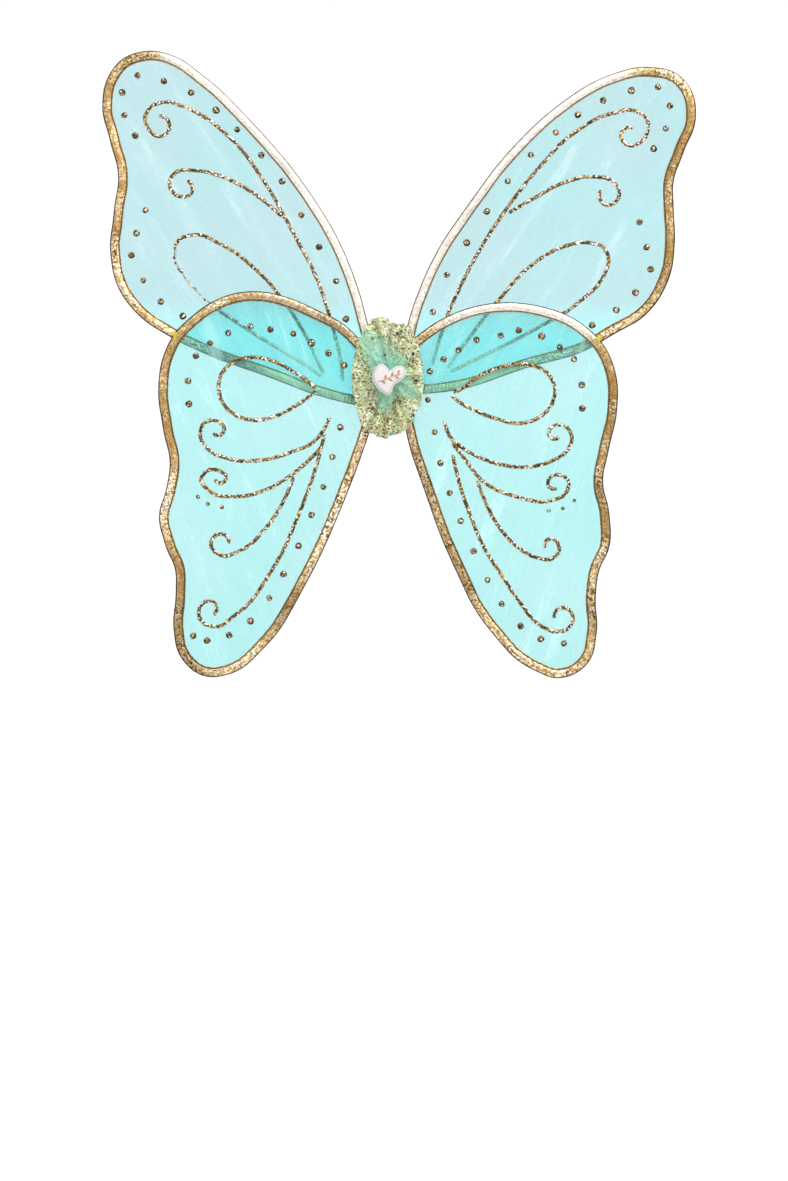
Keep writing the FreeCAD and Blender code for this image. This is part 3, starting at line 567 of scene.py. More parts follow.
# ---------------- wing planes and outlines
class Plane:
    """A wing's flat plane: along runs away from the centre, out faces away from the wearer."""

    def __init__(self, wing):
        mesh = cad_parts[wing + "_fabric"].data
        self.wing = wing
        self.side = SIDES[wing.split("_")[1]]
        self.points = vertices_of(mesh)
        self.faces = [list(p.vertices) for p in mesh.polygons]
        slope, depth = np.polyfit(self.points[:, 0], self.points[:, 1], 1)
        self.along = np.array([1.0, slope, 0.0]) / math.hypot(1.0, slope)
        self.out = np.array([slope, -1.0, 0.0]) / math.hypot(1.0, slope)
        self.origin = np.array([0.0, depth, 0.0])

    def flat(self, points):
        rel = np.asarray(points) - self.origin
        return np.stack([rel @ self.along, rel @ UP, rel @ self.out], 1)

    def space(self, flat):
        return self.origin + np.asarray(flat, float) @ np.stack([self.along, UP, self.out])


ROOT_END = 17.5 * MM     # how near the middle a binding ends, under the rosette
LINE_STEP = 1.0 * MM
CUT_STEP = 10 * MM       # a longer step at an end of the outline is the root's cut, not the edge


def tail_heights(wing, side):
    """The heights at which a wing's two wires leave the wrapped root, the higher one first."""
    heights = []
    for solid in islands("wire_tails"):
        out = solid[:, 0] * side
        if out.mean() > 0:
            heights.append(solid[out > out.max() - 0.5 * MM, 2].mean())
    return sorted(heights, reverse=True)[WINGS.index(wing) % 2::2]


def root_run(end, way, side, height):
    """The binding's last stretch: from the fabric's cut edge to its wire's place in the root."""
    reach = abs(end[0]) - ROOT_END
    goal = np.array([side * ROOT_END, height])
    bend = np.array([side * (ROOT_END + 0.30 * reach), height + (end[1] - height) * 0.12])
    span = np.linalg.norm(goal - end)
    return [(1 - t) ** 3 * end + 3 * t * (1 - t) ** 2 * (end + way * span * 0.4)
            + 3 * t * t * (1 - t) * bend + t ** 3 * goal for t in np.linspace(0.12, 1, 12)]


def outline(plane):
    """The panel's edge from the root round the tip and back, in the wing's plane."""
    flat = plane.flat(plane.points)
    top = flat[:, 2].max()
    uses = {}
    for face in plane.faces:
        if (flat[face, 2] > top - 0.05 * MM).all():
            for pair in zip(face, face[1:] + face[:1]):
                key = tuple(sorted(pair))
                uses[key] = uses.get(key, 0) + 1
    after = {}
    for pair, count in uses.items():
        if count == 1:
            for here, there in (pair, pair[::-1]):
                after.setdefault(here, []).append(there)
    nearest = min(abs(flat[i, 0]) for i in after)
    root = [i for i in after if abs(flat[i, 0]) < nearest + 0.05 * MM]
    loop = [max(root, key=lambda i: flat[i, 1])]
    come_from = min((j for j in after[loop[0]] if j in root), key=lambda j: flat[j, 1])
    while len(loop) == 1 or loop[-1] not in root:
        step = [j for j in after[loop[-1]] if j != come_from]
        come_from = loop[-1]
        loop.append(step[0])
    line = flat[loop][:, :2]
    steps = np.linalg.norm(np.diff(line, axis=0), axis=1)
    line = line[int(steps[0] > CUT_STEP):len(line) - int(steps[-1] > CUT_STEP)]
    runs = []
    for end, back, height in zip((0, -1), (6, -7), tail_heights(plane.wing, plane.side)):
        way = (line[end] - line[back]) / np.linalg.norm(line[end] - line[back])
        runs.append(root_run(line[end], way, plane.side, height))
    line = np.concatenate([runs[0][::-1], line, runs[1]])
    return soften(along_line(line, LINE_STEP), 8)


def outward(line, side):
    """Unit directions out of the wing, in its plane, all along its edge line."""
    ways = line_ways(line)
    return np.stack([-side * ways[:, 1], side * ways[:, 0]], 1)


planes = {wing: Plane(wing) for wing in WINGS}
edges = {wing: outline(planes[wing]) for wing in WINGS}

# ---------------- bindings
BEAD_RADIUS = 2.1 * MM
INNER = -4.65 * MM       # the folded strip's two edges, from the edge line
OUTER = 2.5 * MM + BEAD_RADIUS
LIP = 0.75 * MM

# Painted highlight on the foil, on edges that face up and inwards: how strongly, and the way it
# faces there (inward, up).
PAINTED_HIGHLIGHT_EDGE = {"upper_left": (1.0, (0.75, 0.66)), "upper_right": (1.0, (0.75, 0.66)),
             "lower_left": (0.25, (0.30, 0.95)), "lower_right": (1.0, (-0.15, 0.99))}
PAINTED_LIGHT_ROOT = 130 * MM    # the upper wings' lower edge gets painted light, lighter and creamier, over this much next to the root
GATHERED = 62 * MM       # and gathered into ribs over this much
RIB_PITCH, RIB_HEIGHT = 3.3 * MM, 0.60 * MM
END_NARROW, END_REACH = 0.40, 12 * MM   # a binding narrows towards its ends, to fit the root


def foil_tone(wing, side, way, s, length):
    """How much painted highlight, painted brown shade and painted light the foil gets at one place
    along a wing's edge.
    """
    strength, (inward, up) = PAINTED_HIGHLIGHT_EDGE[wing]
    facing = way[1] * up - way[0] * side * inward
    patch = 0.5 + 0.5 * wobble(s, WINGS.index(wing), 6.0, 22 * MM)
    # painted highlight: the foil is drawn near white where its edge faces up and inwards
    painted_highlight = strength * smooth_step(facing, 0.66, 0.92) * (0.72 + 0.28 * patch)
    # painted light: the upper wings' foil is drawn lighter and creamier next to the root, where the
    # lower wings' cloth shades it
    painted_root_light = wing.startswith("upper") * smooth_step(s, length - PAINTED_LIGHT_ROOT,
                                                   length - 0.6 * PAINTED_LIGHT_ROOT)
    # painted shade: the foil is drawn dark bronze where its edge faces away to the side
    aside = way[0] * side + (0.7 * way[1] if wing == "lower_left" else 0.0)
    painted_side_shade = smooth_step(aside, 0.35, 0.8) * smooth_step(patch, 0.36, 0.66)
    return painted_highlight, painted_side_shade * (1.0 - max(painted_highlight, painted_root_light)), painted_root_light


def binding_section():
    """(across, depth) round the folded strip: stitched front lip, over the wire, back lip."""
    front = [(INNER, 0.15 * MM), (INNER + 0.1 * MM, LIP * 0.8), (INNER + 0.5 * MM, LIP),
             (INNER + 1.1 * MM, LIP * 0.86), (INNER + 1.6 * MM, LIP * 1.25)]
    start, low = front[-1]
    middle, half = (start + OUTER) / 2, (OUTER - start) / 2
    for degrees in (158, 137, 116, 96, 76, 57, 38, 20):
        a = math.radians(degrees)
        lift = BEAD_RADIUS * math.sin(a) ** 0.85
        front.append((middle + half * math.cos(a), max(lift, low * math.sin(a / 2))))
    back = [(across, -depth) for across, depth in reversed(front)]
    return front + [(OUTER, 0.0)] + back


def build_binding(wing):
    plane, line, section = planes[wing], edges[wing], binding_section()
    out = outward(line, plane.side)
    length = len(line) * LINE_STEP
    seed = 3.1 * (WINGS.index(wing) + 1)
    ribbed = wing.startswith("upper")
    points, looks = [], []
    for i, (middle, way) in enumerate(zip(line, out)):
        s = i * LINE_STEP
        painted_highlight, painted_side_shade, painted_root_light = foil_tone(wing, plane.side, way, s, length)
        wander = 0.35 * MM * wobble(s, seed, 0, 22 * MM)
        gather = ribbed * smooth_step(s, length - GATHERED, length - GATHERED + 25 * MM)
        narrow = END_NARROW + (1 - END_NARROW) * smooth_step(min(s, length - s), 0.0, END_REACH)
        rib = math.sin(2 * math.pi * s / RIB_PITCH + 1.2 * wobble(s, seed, 2, 9 * MM))
        # painted shade: less of the painted light in each trough between the gathered ribs, so the
        # troughs are darker
        painted_root_light *= 1.0 - 0.75 * gather * (0.5 - 0.5 * rib)
        for across, depth in section:
            fold = wobble(s, across * 1.6 + seed, np.sign(depth), 2.6 * MM)
            swell = 1.0 + 0.10 * wobble(s, across + 2 * seed, 3.0, 7.0 * MM)
            lift = 0.20 * MM * fold + gather * RIB_HEIGHT * rib
            grow = abs(depth) * swell + (lift if abs(depth) > 0.3 * MM else 0.0)
            x, z = middle + way * (across * narrow + wander * (1.0 if across < 0 else 0.4))
            points.append((x, z, math.copysign(max(grow, 0.1 * MM), depth) if depth else 0.0))
            looks.append(((across - INNER) / (OUTER - INNER), painted_highlight, painted_side_shade, painted_root_light))
    looks = dict(zip(("edge", "painted_highlight", "painted_side_shade", "painted_root_light"), zip(*looks)))
    finish_piece(new_object(wing + "_binding_lame", plane.space(points),
                            tube_faces(len(line), len(section)), "lame", **looks),
                 wing_body(wing), "gold_lame", wing + "_binding")
    build_binding_stitches(wing, plane, line + out * (INNER + 1.0 * MM))


def build_binding_stitches(wing, plane, seam):
    """A running stitch close to the binding's inner edge, seen on both faces."""
    pitch, length, radius = 3.4 * MM, 2.3 * MM, 0.17 * MM
    arch = [(-0.5, -0.25), (-0.34, 0.05), (0.0, 0.12), (0.34, 0.05), (0.5, -0.25)]
    ways = line_ways(seam)
    parts = []
    for i in range(8, len(seam) - 8, int(round(pitch / LINE_STEP))):
        for face in (1, -1):
            flat = [(*(seam[i] + ways[i] * length * along),
                     face * (LIP + (0.16 + rise) * MM)) for along, rise in arch]
            parts.append(round_tube(plane.space(flat), radius, 5))
    joined_piece(wing + "_binding_stitches", parts, "gold_thread", wing_body(wing), "gold_lame")


# ---------------- panels
PANEL_CELL = 4.0 * MM
PANEL_THICK = 0.25 * MM
PANEL_START = 22 * MM    # the cloth begins this far from the middle
CLOTH_HOLD = (3 * MM, 26 * MM)      # it lies flat this near its edge, and free from there on
PULL_DEPTH, PULL_SIZE = 1.1 * MM, 17 * MM       # its slanting pull lines
PULL_ACROSS, PULL_UP = 0.85, 0.52
BELLY_DEPTH, BELLY_SIZE = 1.6 * MM, 90 * MM     # its broad belly
cloth_faces = {}


def cloth_depth(wing, x, z):
    """How far a wing's cloth stands out of its plane at a place."""
    hit = cloth_faces[wing].ray_cast(Vector((x, z, 0.1)), Vector((0, 0, -1)))
    return hit[0].z if hit[0] else 0.0


def panel_mesh(line):
    """A triangle mesh of the flat panel inside its edge line."""
    edge = along_line(line, PANEL_CELL)
    low, high = edge.min(0), edge.max(0)
    pitch = PANEL_CELL * math.sqrt(3) / 2
    inside = np.array([
        (x, low[1] + row * pitch) for row in range(int((high[1] - low[1]) / pitch) + 1)
        for x in np.arange(low[0] + (PANEL_CELL / 2 if row % 2 else 0.0), high[0], PANEL_CELL)])
    nearest = np.min(np.linalg.norm(inside[:, None, :] - edge[None, :, :], axis=2), axis=1)
    inside = inside[nearest > 0.62 * PANEL_CELL]
    ring = [(i, (i + 1) % len(edge)) for i in range(len(edge))]
    verts, _, faces, _, _, _ = geometry.delaunay_2d_cdt(
        [Vector(p) for p in (*edge, *inside)], ring, [], 1, 1e-7)
    return np.array([tuple(v) for v in verts]), faces


def build_panel(wing):
    plane, line = planes[wing], edges[wing]
    flat, faces = panel_mesh(line[np.abs(line[:, 0]) > PANEL_START])
    seed = 5.0 * WINGS.index(wing)
    depth = []
    for x, z in flat:
        hold = smooth_step(np.min(np.linalg.norm(line - (x, z), axis=1)), *CLOTH_HOLD)
        slant = PULL_ACROSS * x * plane.side + PULL_UP * z
        cross = -PULL_UP * x * plane.side + PULL_ACROSS * z
        pull = wobble(slant * 0.30, cross, seed, PULL_SIZE)
        belly = wobble(x, z, seed + 9.0, BELLY_SIZE)
        depth.append(hold * (PULL_DEPTH * pull + BELLY_DEPTH * belly))
    curved = np.column_stack([flat, depth])
    cloth_faces[wing] = BVHTree.FromPolygons([tuple(p) for p in curved], faces)
    obj = new_object(wing + "_organza", plane.space(curved), faces, wing)
    solid = obj.modifiers.new("thickness", "SOLIDIFY")
    solid.thickness = PANEL_THICK
    solid.offset = 0.0
    finish_piece(obj, wing_body(wing), "aqua_organza", wing + "_fabric")


# ---------------- glitter
SCROLL_SPREAD = 0.86 * MM       # how far a bead of glitter spreads out from its core of glue
RUB_DEPTH = 2.1 * MM            # where it has rubbed off, it shrinks by this
SCROLL_VOXEL = 0.42 * MM
DOT_GROWTH = (1.42, 0.34)       # a dot's size and how much that varies, as shares of its core
DOT_RINGS, DOT_AROUND = 5, 18

# A stretch where the glitter has rubbed off in places: between these two, this far round.
WORN = {"upper_left": ((-200.0, 112.0), (-166.0, 66.0), 9.0)}


def rubbed_off(wing, x, z):
    """From 0 to 1, how much of the glitter is gone at a place."""
    if wing not in WORN:
        return 0.0
    start, end, reach = (np.array(part) * MM for part in WORN[wing])
    span = end - start
    share = np.clip(np.dot((x, z) - start, span) / np.dot(span, span), 0.0, 1.0)
    away = np.linalg.norm(start + share * span - (x, z))
    inside = 1.0 - smooth_step(away, 0.6 * reach, reach)
    return inside * smooth_step(wobble(x, z, 4.4, 2.6 * MM), -0.25, 0.15)


def build_scrolls(wing):
    """The scroll beads, uneven like glue drawn by hand, on the panel's outer face."""
    plane, node = planes[wing], wing + "_glitter_scrolls"
    obj = place(wing + "_scroll_glitter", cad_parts[node].data.copy())
    voxel_remesh(obj, SCROLL_VOXEL)
    flat = plane.flat(vertices_of(obj.data))
    normals = np.array([v.normal for v in obj.data.vertices])
    base, top = flat[:, 2].min(), flat[:, 2].max()
    moved = []
    for (x, z, d), nx, nz in zip(flat, normals @ plane.along, normals @ UP):
        grow = SCROLL_SPREAD - RUB_DEPTH * rubbed_off(wing, x, z)
        grow += 0.30 * MM * wobble(x, z, 0.3, 2.2 * MM) + 0.16 * MM * wobble(x, z, 5.3, 0.9 * MM)
        rise = (d - base) / (top - base)
        lift = rise * (0.25 * MM + 0.22 * MM * wobble(x, z, 7.3, 1.0 * MM))
        under = cloth_depth(wing, x, z) + PANEL_THICK / 2 - 0.1 * MM
        moved.append((x + nx * grow, z + nz * grow, under + (d - base) + lift))
    points = plane.space(moved)
    # painted light: how much paler the glitter is drawn low down, where the lower wings' cloth
    # shades it
    low = 1.0 - smooth_step(points[:, 2], 18 * MM, 50 * MM)
    set_attribute(obj.data, "painted_low_light", wing.startswith("upper") * low)
    set_look(obj.data, "glitter")
    move_points(obj.data, points)
    finish_piece(obj, wing_body(wing), "gold_glitter", node)


def build_dots(wing):
    """Each dot a small domed blob of glitter with a ragged rim."""
    plane, rings, around = planes[wing], DOT_RINGS, DOT_AROUND
    parts = []
    for number, solid in enumerate(islands(wing + "_glitter_dots")):
        flat = plane.flat(solid)
        x, z, _ = (flat.min(0) + flat.max(0)) / 2
        wide, _, thick = flat.max(0) - flat.min(0)
        radius = wide / 2 * (DOT_GROWTH[0] + DOT_GROWTH[1] * wobble(x, z, 3.0, 30 * MM))
        low = cloth_depth(wing, x, z)
        points = []
        for i in range(rings):
            share = 1.0 - i / (rings - 0.4)
            rise = low + (thick + PANEL_THICK) * 1.1 * (1 - share ** 2.6)
            for a in circle(around):
                c, s = math.cos(a), math.sin(a)
                r = radius * share * (1 + 0.16 * wobble(c, s, number * 3.7, 0.8))
                bump = 0.10 * MM * wobble(c * share * 3, s * share * 3, number, 1.0)
                points.append((x + r * c, z + r * s, rise + (bump if i else 0.0)))
        parts.append((plane.space(points), tube_faces(rings, around)))
    rim = [1.0 - i / (rings - 1) for i in range(rings) for _ in range(around)] * len(parts)
    joined_piece(wing + "_dot_glitter", parts, "glitter", wing_body(wing), "gold_glitter",
                 wing + "_glitter_dots", rim=rim)


for wing in WINGS:
    build_binding(wing)
    build_panel(wing)
    build_scrolls(wing)
    build_dots(wing)
for name, look in [(wing + "_wire", "steel") for wing in WINGS] + [("wire_tails", "steel"),
                                                                   ("centre_stitch", "white")]:
    set_look(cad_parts[name].data, look)

# ---------------- rosette
RUFFLE_RINGS, RUFFLE_STEPS = 15, 132
RUFFLE_THICK = 0.25 * MM
LAYER_GAP = 1.6 * MM     # between the layers of one ruffle

# The mint net's reach from under the heart, in mm, by the angle from the right: one broad
# flare to the upper left, one to the lower right and a narrow one straight down.
MINT_REACH = [(-180, 15), (-140, 15), (-120, 19), (-107, 33), (-94, 35), (-80, 22), (-66, 16),
              (-52, 24), (-38, 34), (-24, 32), (-10, 20), (14, 15), (38, 23), (62, 24), (84, 28),
              (98, 37), (109, 47), (121, 50), (131, 42), (142, 28), (158, 18), (180, 15)]


def crumple(obj):
    """Give a half of the rosette its own copy of its mesh."""
    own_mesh(obj)


def gold_lobes(angle):
    """The glitter net is a little narrower on the right."""
    lean = 0.94 if math.cos(angle) > 0 else 1.02
    return lean + 0.02 * math.cos(6 * angle + 0.7)


def mint_lobes(angle):
    """The mint net's reach at an angle, softened over a few degrees."""
    at = (math.degrees(angle) + np.array([-8, -4, 0, 4, 8]) + 180) % 360 - 180
    return float(np.dot(np.interp(at, *zip(*MINT_REACH)), (0.1, 0.2, 0.4, 0.2, 0.1)))


def squarish(a, power):
    """How much further out than a circle's a squarer oval's edge lies at an angle."""
    return (abs(math.cos(a)) ** power + abs(math.sin(a)) ** power) ** (-1 / power)


def ruffle_half(name, side, centre, radii, power, depth, layers, look, lobes, seed, pleats):
    """Half of a gathered ruffle: pleats that fan out from the middle, deeper at the rim."""
    rings, around = RUFFLE_RINGS, RUFFLE_STEPS
    shares = [0.07 + 0.93 * i / (rings - 1) for i in range(rings)]
    deepest = depth[1] - depth[0]
    points = []
    for layer in range(layers):
        here = seed + 11.0 * layer
        for share in shares:
            for k in range(around + 1):
                a = math.pi / 2 - side * math.pi * k / around
                c, s = math.cos(a), math.sin(a)
                ragged = 1 + 0.045 * wobble(c * 2.4, s * 2.4, here, 0.4) - 0.05 * layer
                r = share * lobes(a) * ragged * squarish(a, power)
                phase = pleats * a + 2.6 * wobble(c * 1.3, s * 1.3, here + 4.0, 0.5)
                phase += 0.6 * wobble(c * share, s * share, here + 8.0, 0.25)
                pleat = (0.25 + 0.75 * share) * math.sin(phase) * min(1, share * 2.2)
                curl = 0.28 * wobble(c * share * 2, s * share * 2, here + 2.0, 0.45) * share
                dip = 0.25 * math.exp(-(share / 0.22) ** 2)
                x = centre[0] + (radii[0] * r * c if 0 < k < around else 0.0)
                y = depth[0] + deepest * (0.5 + 0.5 * pleat + curl - dip) + layer * LAYER_GAP
                points.append((x, y, centre[1] + radii[1] * r * s))
    step = around + 1
    quads = [(b, b + 1, b + step + 1, b + step)
             for layer in range(layers) for i in range(rings - 1)
             for b in range((layer * rings + i) * step, (layer * rings + i) * step + around)]
    obj = new_object(name, points, quads if side < 0 else [q[::-1] for q in quads], look,
                     out=np.tile(np.repeat(shares, step), layers))
    area = float(sum(p.area for p in obj.data.polygons))
    net = np.array(points).reshape(layers, rings, step, 3)
    rim = np.linalg.norm(np.diff(net[:, -1], axis=1), axis=2).sum()
    reach = np.linalg.norm(np.diff(net, axis=1), axis=3).sum(1).mean()
    obj.modifiers.new("thickness", "SOLIDIFY").thickness = RUFFLE_THICK
    apply_modifiers(obj)
    return obj, (float(rim), float(reach)), area


def build_rosette():
    for label, lobes, power, layers, seed, pleats in (("gold", gold_lobes, 2.35, 2, 2.0, 15),
                                                      ("mint", mint_lobes, 2.0, 1, 40.0, 12)):
        node, look = "rosette_%s_ruffle" % label, label + "_tulle"
        low, high, middle, (wide, _, tall) = box_of(node)
        radii = (wide, tall) if label == "gold" else (MM, MM)
        depth = (high[1] - 1.5 * MM, low[1] + 1.2 * MM)
        for half, side in SIDES.items():
            obj, cut, area = ruffle_half("rosette_%s_%s" % (label, half), side, middle[::2], radii,
                                         power, depth, layers, look, lobes, seed, pleats)
            finish_piece(obj, "centre", look, *([node] if half == "left" else []))
            crumple(obj)


# Sequins sewn to the net, as shares of the mint ruffle's half width and half height.
SEQUINS = [(-0.60, 0.80), (-0.06, 0.66), (-0.14, 0.46), (0.86, 0.50), (0.98, -0.06),
           (-0.58, -0.66), (0.88, -0.80), (0.30, 0.92)]
SEQUIN_RINGS = [(0.30, 0.25), (0.8, 0.35), (1.5, 0.0), (1.5, -0.12)]     # radius and rise, in mm


def build_sequins():
    tree = surface_tree(*(bpy.data.objects["rosette_%s_%s" % (label, half)]
                          for label in ("gold", "mint") for half in SIDES))
    low, _, _, half_size = box_of("rosette_mint_ruffle")
    for half, side in SIDES.items():
        parts = []
        for number, (across, up) in enumerate(SEQUINS):
            if across * side < 0:
                continue
            x, z = across * half_size[0], up * half_size[2]
            y = depth_at(tree, x, z, low[1]) - 0.5 * MM
            lean = 0.5 * wobble(x, z, number * 2.1, 20 * MM)
            parts.append(([(x + radius * MM * math.cos(a),
                            y - (rise + lean * radius * math.cos(a)) * MM,
                            z + radius * MM * math.sin(a))
                           for radius, rise in SEQUIN_RINGS for a in circle(12)],
                          tube_faces(len(SEQUIN_RINGS), 12)))
        crumple(joined_piece("rosette_sequins_" + half, parts, "sequin", "centre", "gold_glitter",
                             smooth=False))


build_rosette()
build_sequins()

# ---------------- the heart
# The heart's left and right edges from notch to tip, as shares of its half width and its
# height: a full left lobe, and a right one that hollows in towards the tip.
HEART_LEFT = [(0.04, 0.795), (-0.20, 0.94), (-0.48, 1.0), (-0.80, 0.90), (-1.0, 0.65),
              (-0.94, 0.47), (-0.72, 0.27), (-0.36, 0.11), (-0.02, 0.0)]
HEART_RIGHT = [(-0.02, 0.0), (0.14, 0.13), (0.32, 0.33), (0.72, 0.49), (0.95, 0.62), (1.0, 0.77),
               (0.86, 0.91), (0.64, 0.945), (0.34, 0.90), (0.04, 0.795)]

HEART_RINGS, HEART_PUCKERS = 16, 30
HEART_SEAM = 1.5 * MM           # the running stitch's distance from the edge
HEART_STITCH = 3.1 * MM         # and its pitch


def heart_line(inset):
    """The heart's outline, the notch first, drawn inset by some metres."""
    low, _, _, half = box_of("heart_front_panel")
    line = np.concatenate([
        along_line(through([(half[0] * a, low[2] + 2 * half[2] * b) for a, b in shares], 8),
                   0.5 * MM)[:-1] for shares in (HEART_LEFT, HEART_RIGHT)])
    ways = np.roll(line, -1, axis=0) - np.roll(line, 1, axis=0)
    ways /= np.linalg.norm(ways, axis=1)[:, None]
    return line + np.stack([-ways[:, 1], ways[:, 0]], 1) * inset


def build_heart():
    """The stuffed heart, its puckered seam, its running stitch and its sprig."""
    low, _, _, half = box_of("heart_front_panel")
    back = box_of("heart_back_panel")[1][1]
    middle = (low[1] + back) / 2
    centre = np.array([0.0, low[2] + 0.56 * 2 * half[2]])
    line = heart_line(0.0)
    count, rings = len(line), HEART_RINGS
    points, faces = [], []
    for face, rise in ((-1, middle - low[1] + 0.6 * MM), (1, back - middle)):
        base = len(points)
        for i in range(rings):
            share = 1.0 - i / rings
            for k, (x, z) in enumerate(line - centre):
                px, pz = centre + np.array([x, z]) * share
                deep = (1 - share) * math.hypot(x, z)
                crown = 0.40 + 0.60 * (1 - math.exp(-deep / (2.6 * MM)))
                crown *= 0.80 + 0.20 * (1 - share ** 2)
                seam = 0.16 * math.exp(-((deep - HEART_SEAM) / (0.55 * MM)) ** 2) * (face < 0)
                pucker = 0.05 * math.sin(k * 2 * math.pi * HEART_PUCKERS / count) * (i > 0)
                pucker *= math.exp(-deep / (2.2 * MM))
                crease = 0.10 * wobble(px, pz, face * 3.0, 5 * MM)
                crease *= 1 - math.exp(-deep / (3 * MM))
                out = face * rise * max(0.0, crown - seam + pucker + crease)
                points.append((px, middle + (out if i else 0.0), pz))
        faces += [[base + i for i in (quad if face > 0 else quad[::-1])]
                  for quad in tube_faces(rings, count)
                  if quad != range(count)[::-1]]
    obj = new_object("heart_patch", points, faces, "heart")
    obj.modifiers.new("weld", "WELD").merge_threshold = 0.01 * MM
    apply_modifiers(obj)
    finish_piece(obj, "centre", "heart_cotton", "heart_back_panel", "heart_front_panel",
                 "heart_wadding")

    tree = surface_tree(obj)
    seam, step = heart_line(HEART_SEAM), 0.25 * MM
    seam = along_line([*seam, seam[0]], step)
    arch = [math.sin(math.pi * n / 7) for n in range(8)]
    joined_piece("heart_running_stitch", [
        round_tube([(x, depth_at(tree, x, z, middle) - (0.22 * rise - 0.05) * MM, z)
                    for (x, z), rise in zip(seam[i:i + 8], arch)], 0.24 * MM, 6)
        for i in range(2, len(seam) - 8, int(round(HEART_STITCH / step)))],
        "grey", "centre", "grey_thread", "heart_edge_stitching")
    build_sprig(tree, centre)


def build_sprig(tree, centre):
    """A small embroidered sprig: a slanting stem with pairs of leaves, in gold-orange thread."""
    slant, spread = math.radians(20), 1.2 * MM
    parts = []

    def lay(points, radius, rise=0.12):
        line = []
        for along, across in points:
            x = centre[0] + spread * (along * math.cos(slant) - across * math.sin(slant))
            z = centre[1] + spread * (along * math.sin(slant) + across * math.cos(slant))
            line.append((x, depth_at(tree, x, z, -46 * MM) - rise * MM, z))
        parts.append(round_tube(line, radius * MM, 6))

    lay([(a, 0.35 * math.sin(a * 0.45)) for a in np.linspace(-8.6, 9.4, 24)], 0.34)
    for index, root in enumerate(np.linspace(-6.0, 7.4, 6)):
        way = 1 if index % 2 else -1
        for share in np.linspace(0, 1, 7):
            wide = 1.5 * math.sin(math.pi * min(0.98, share * 0.92 + 0.04))
            along = root + 3.9 * share * 0.62
            mid = way * (0.5 + 3.3 * share * 0.78)
            lay([(along - 0.36 * wide, mid + way * 0.34 * wide), (along, mid),
                 (along + 0.38 * wide, mid - way * 0.34 * wide)], 0.28, 0.18)
    joined_piece("heart_sprig", parts, "orange", "centre", "gold_glitter")


build_heart()


# ---------------- centre: wrap, felt, pad
def oval_line(half_width, half_height, power, count):
    """An oval, squarer than an ellipse where power is above 2."""
    return [(half_width * squarish(a, power) * math.cos(a),
             half_height * squarish(a, power) * math.sin(a)) for a in circle(count)]


def build_wrap():
    """Thread wound round and round the wire ends, on a plain core."""
    low, high, middle, half = box_of("root_wrap")
    radius, pitch, around = 0.55 * MM, 1.05 * MM, 40
    turns = int((2 * half[2] - 2 * radius) / pitch)
    line = []
    for i, a in enumerate([*circle(around, turns), 2 * math.pi * turns]):
        c, s = math.cos(a), math.sin(a)
        inset = 0.12 * MM * wobble(c * 2, s * 2, i / around * 0.7, 1.0) - radius
        line.append(((half[0] + inset) * squarish(a, 4) * c,
                     middle[1] + (half[1] + inset) * squarish(a, 4) * s,
                     low[2] + radius + pitch * i / around))
    core = [(x, middle[1] + y, z)
            for z, shrink in ((low[2] + 0.3 * MM, 0.86), (low[2] + 1.5 * MM, 0.93),
                              (high[2] - 1.5 * MM, 0.93), (high[2] - 0.3 * MM, 0.86))
            for x, y in oval_line(half[0] * shrink, half[1] * shrink, 4.0, 40)]
    joined_piece("root_wrap_thread", [round_tube(line, radius * 0.98, 7), (core, tube_faces(4, 40))],
                 "white", "centre", "white_thread", "root_wrap")


def build_felt():
    """The felt oval with its softened edge, and blanket stitch all round it."""
    low, high, _, half = box_of("felt_backing")
    profile = [(0.0, 0.0), (0.6, 0.0), (0.93, 0.0), (0.975, 0.10), (1.0, 0.42), (1.0, 0.60),
               (0.975, 0.90), (0.93, 1.0), (0.6, 1.0), (0.0, 1.0)]
    count = 120
    points = []
    for share, down in profile:
        for x, z in oval_line(half[0], half[2], 2.0, count):
            wave = 0.25 * MM * wobble(x * share, z * share, down, 14 * MM) * (0.02 < share < 0.98)
            r = max(share, 0.02)
            points.append((x * r, high[1] - 2 * half[1] * down + wave, z * r))
    finish_piece(new_object("felt_oval", points, tube_faces(len(profile), count), "felt"),
                 "centre", "mint_felt", "felt_backing")

    step, pitch = 0.5 * MM, 4.0 * MM
    rim = oval_line(half[0], half[2], 2.0, 360)
    rim = along_line(rim + rim[:1], step)
    away = rim / np.hypot(*rim.T)[:, None]

    def at(i, out, depth):
        x, z = rim[i] + away[i] * out * MM
        return x, depth, z

    parts = [round_tube([at(i, -3.0, high[1]), at(i, -1.2, high[1] + 0.22 * MM),
                         at(i, 0.25, high[1] - 0.8 * MM), at(i, 0.25, low[1] + 0.8 * MM),
                         at(i, -1.2, low[1] - 0.15 * MM)], 0.36 * MM, 6)
             for i in range(0, len(rim) - 1, int(round(pitch / step)))]
    edge = [at(i, 0.22, high[1] - 1.0 * MM) for i in range(0, len(rim), 2)]
    joined_piece("felt_blanket_stitch", parts + [round_tube(edge, 0.34 * MM, 6)],
                 "teal", "centre", "mint_felt")


SIM_SCALE = 6.0          # the pad is simulated this much larger, where the solver is at home
PUFF_CAP = 2.0 * MM      # the furthest that a point may move
PAD_SEAMS = (-0.34, 0.34)        # the quilted seams' heights, as shares of the half height
PAD_VOXEL = 1.0 * MM
QUILT_PITCH, QUILT_STITCH = 3.0 * MM, 1.9 * MM


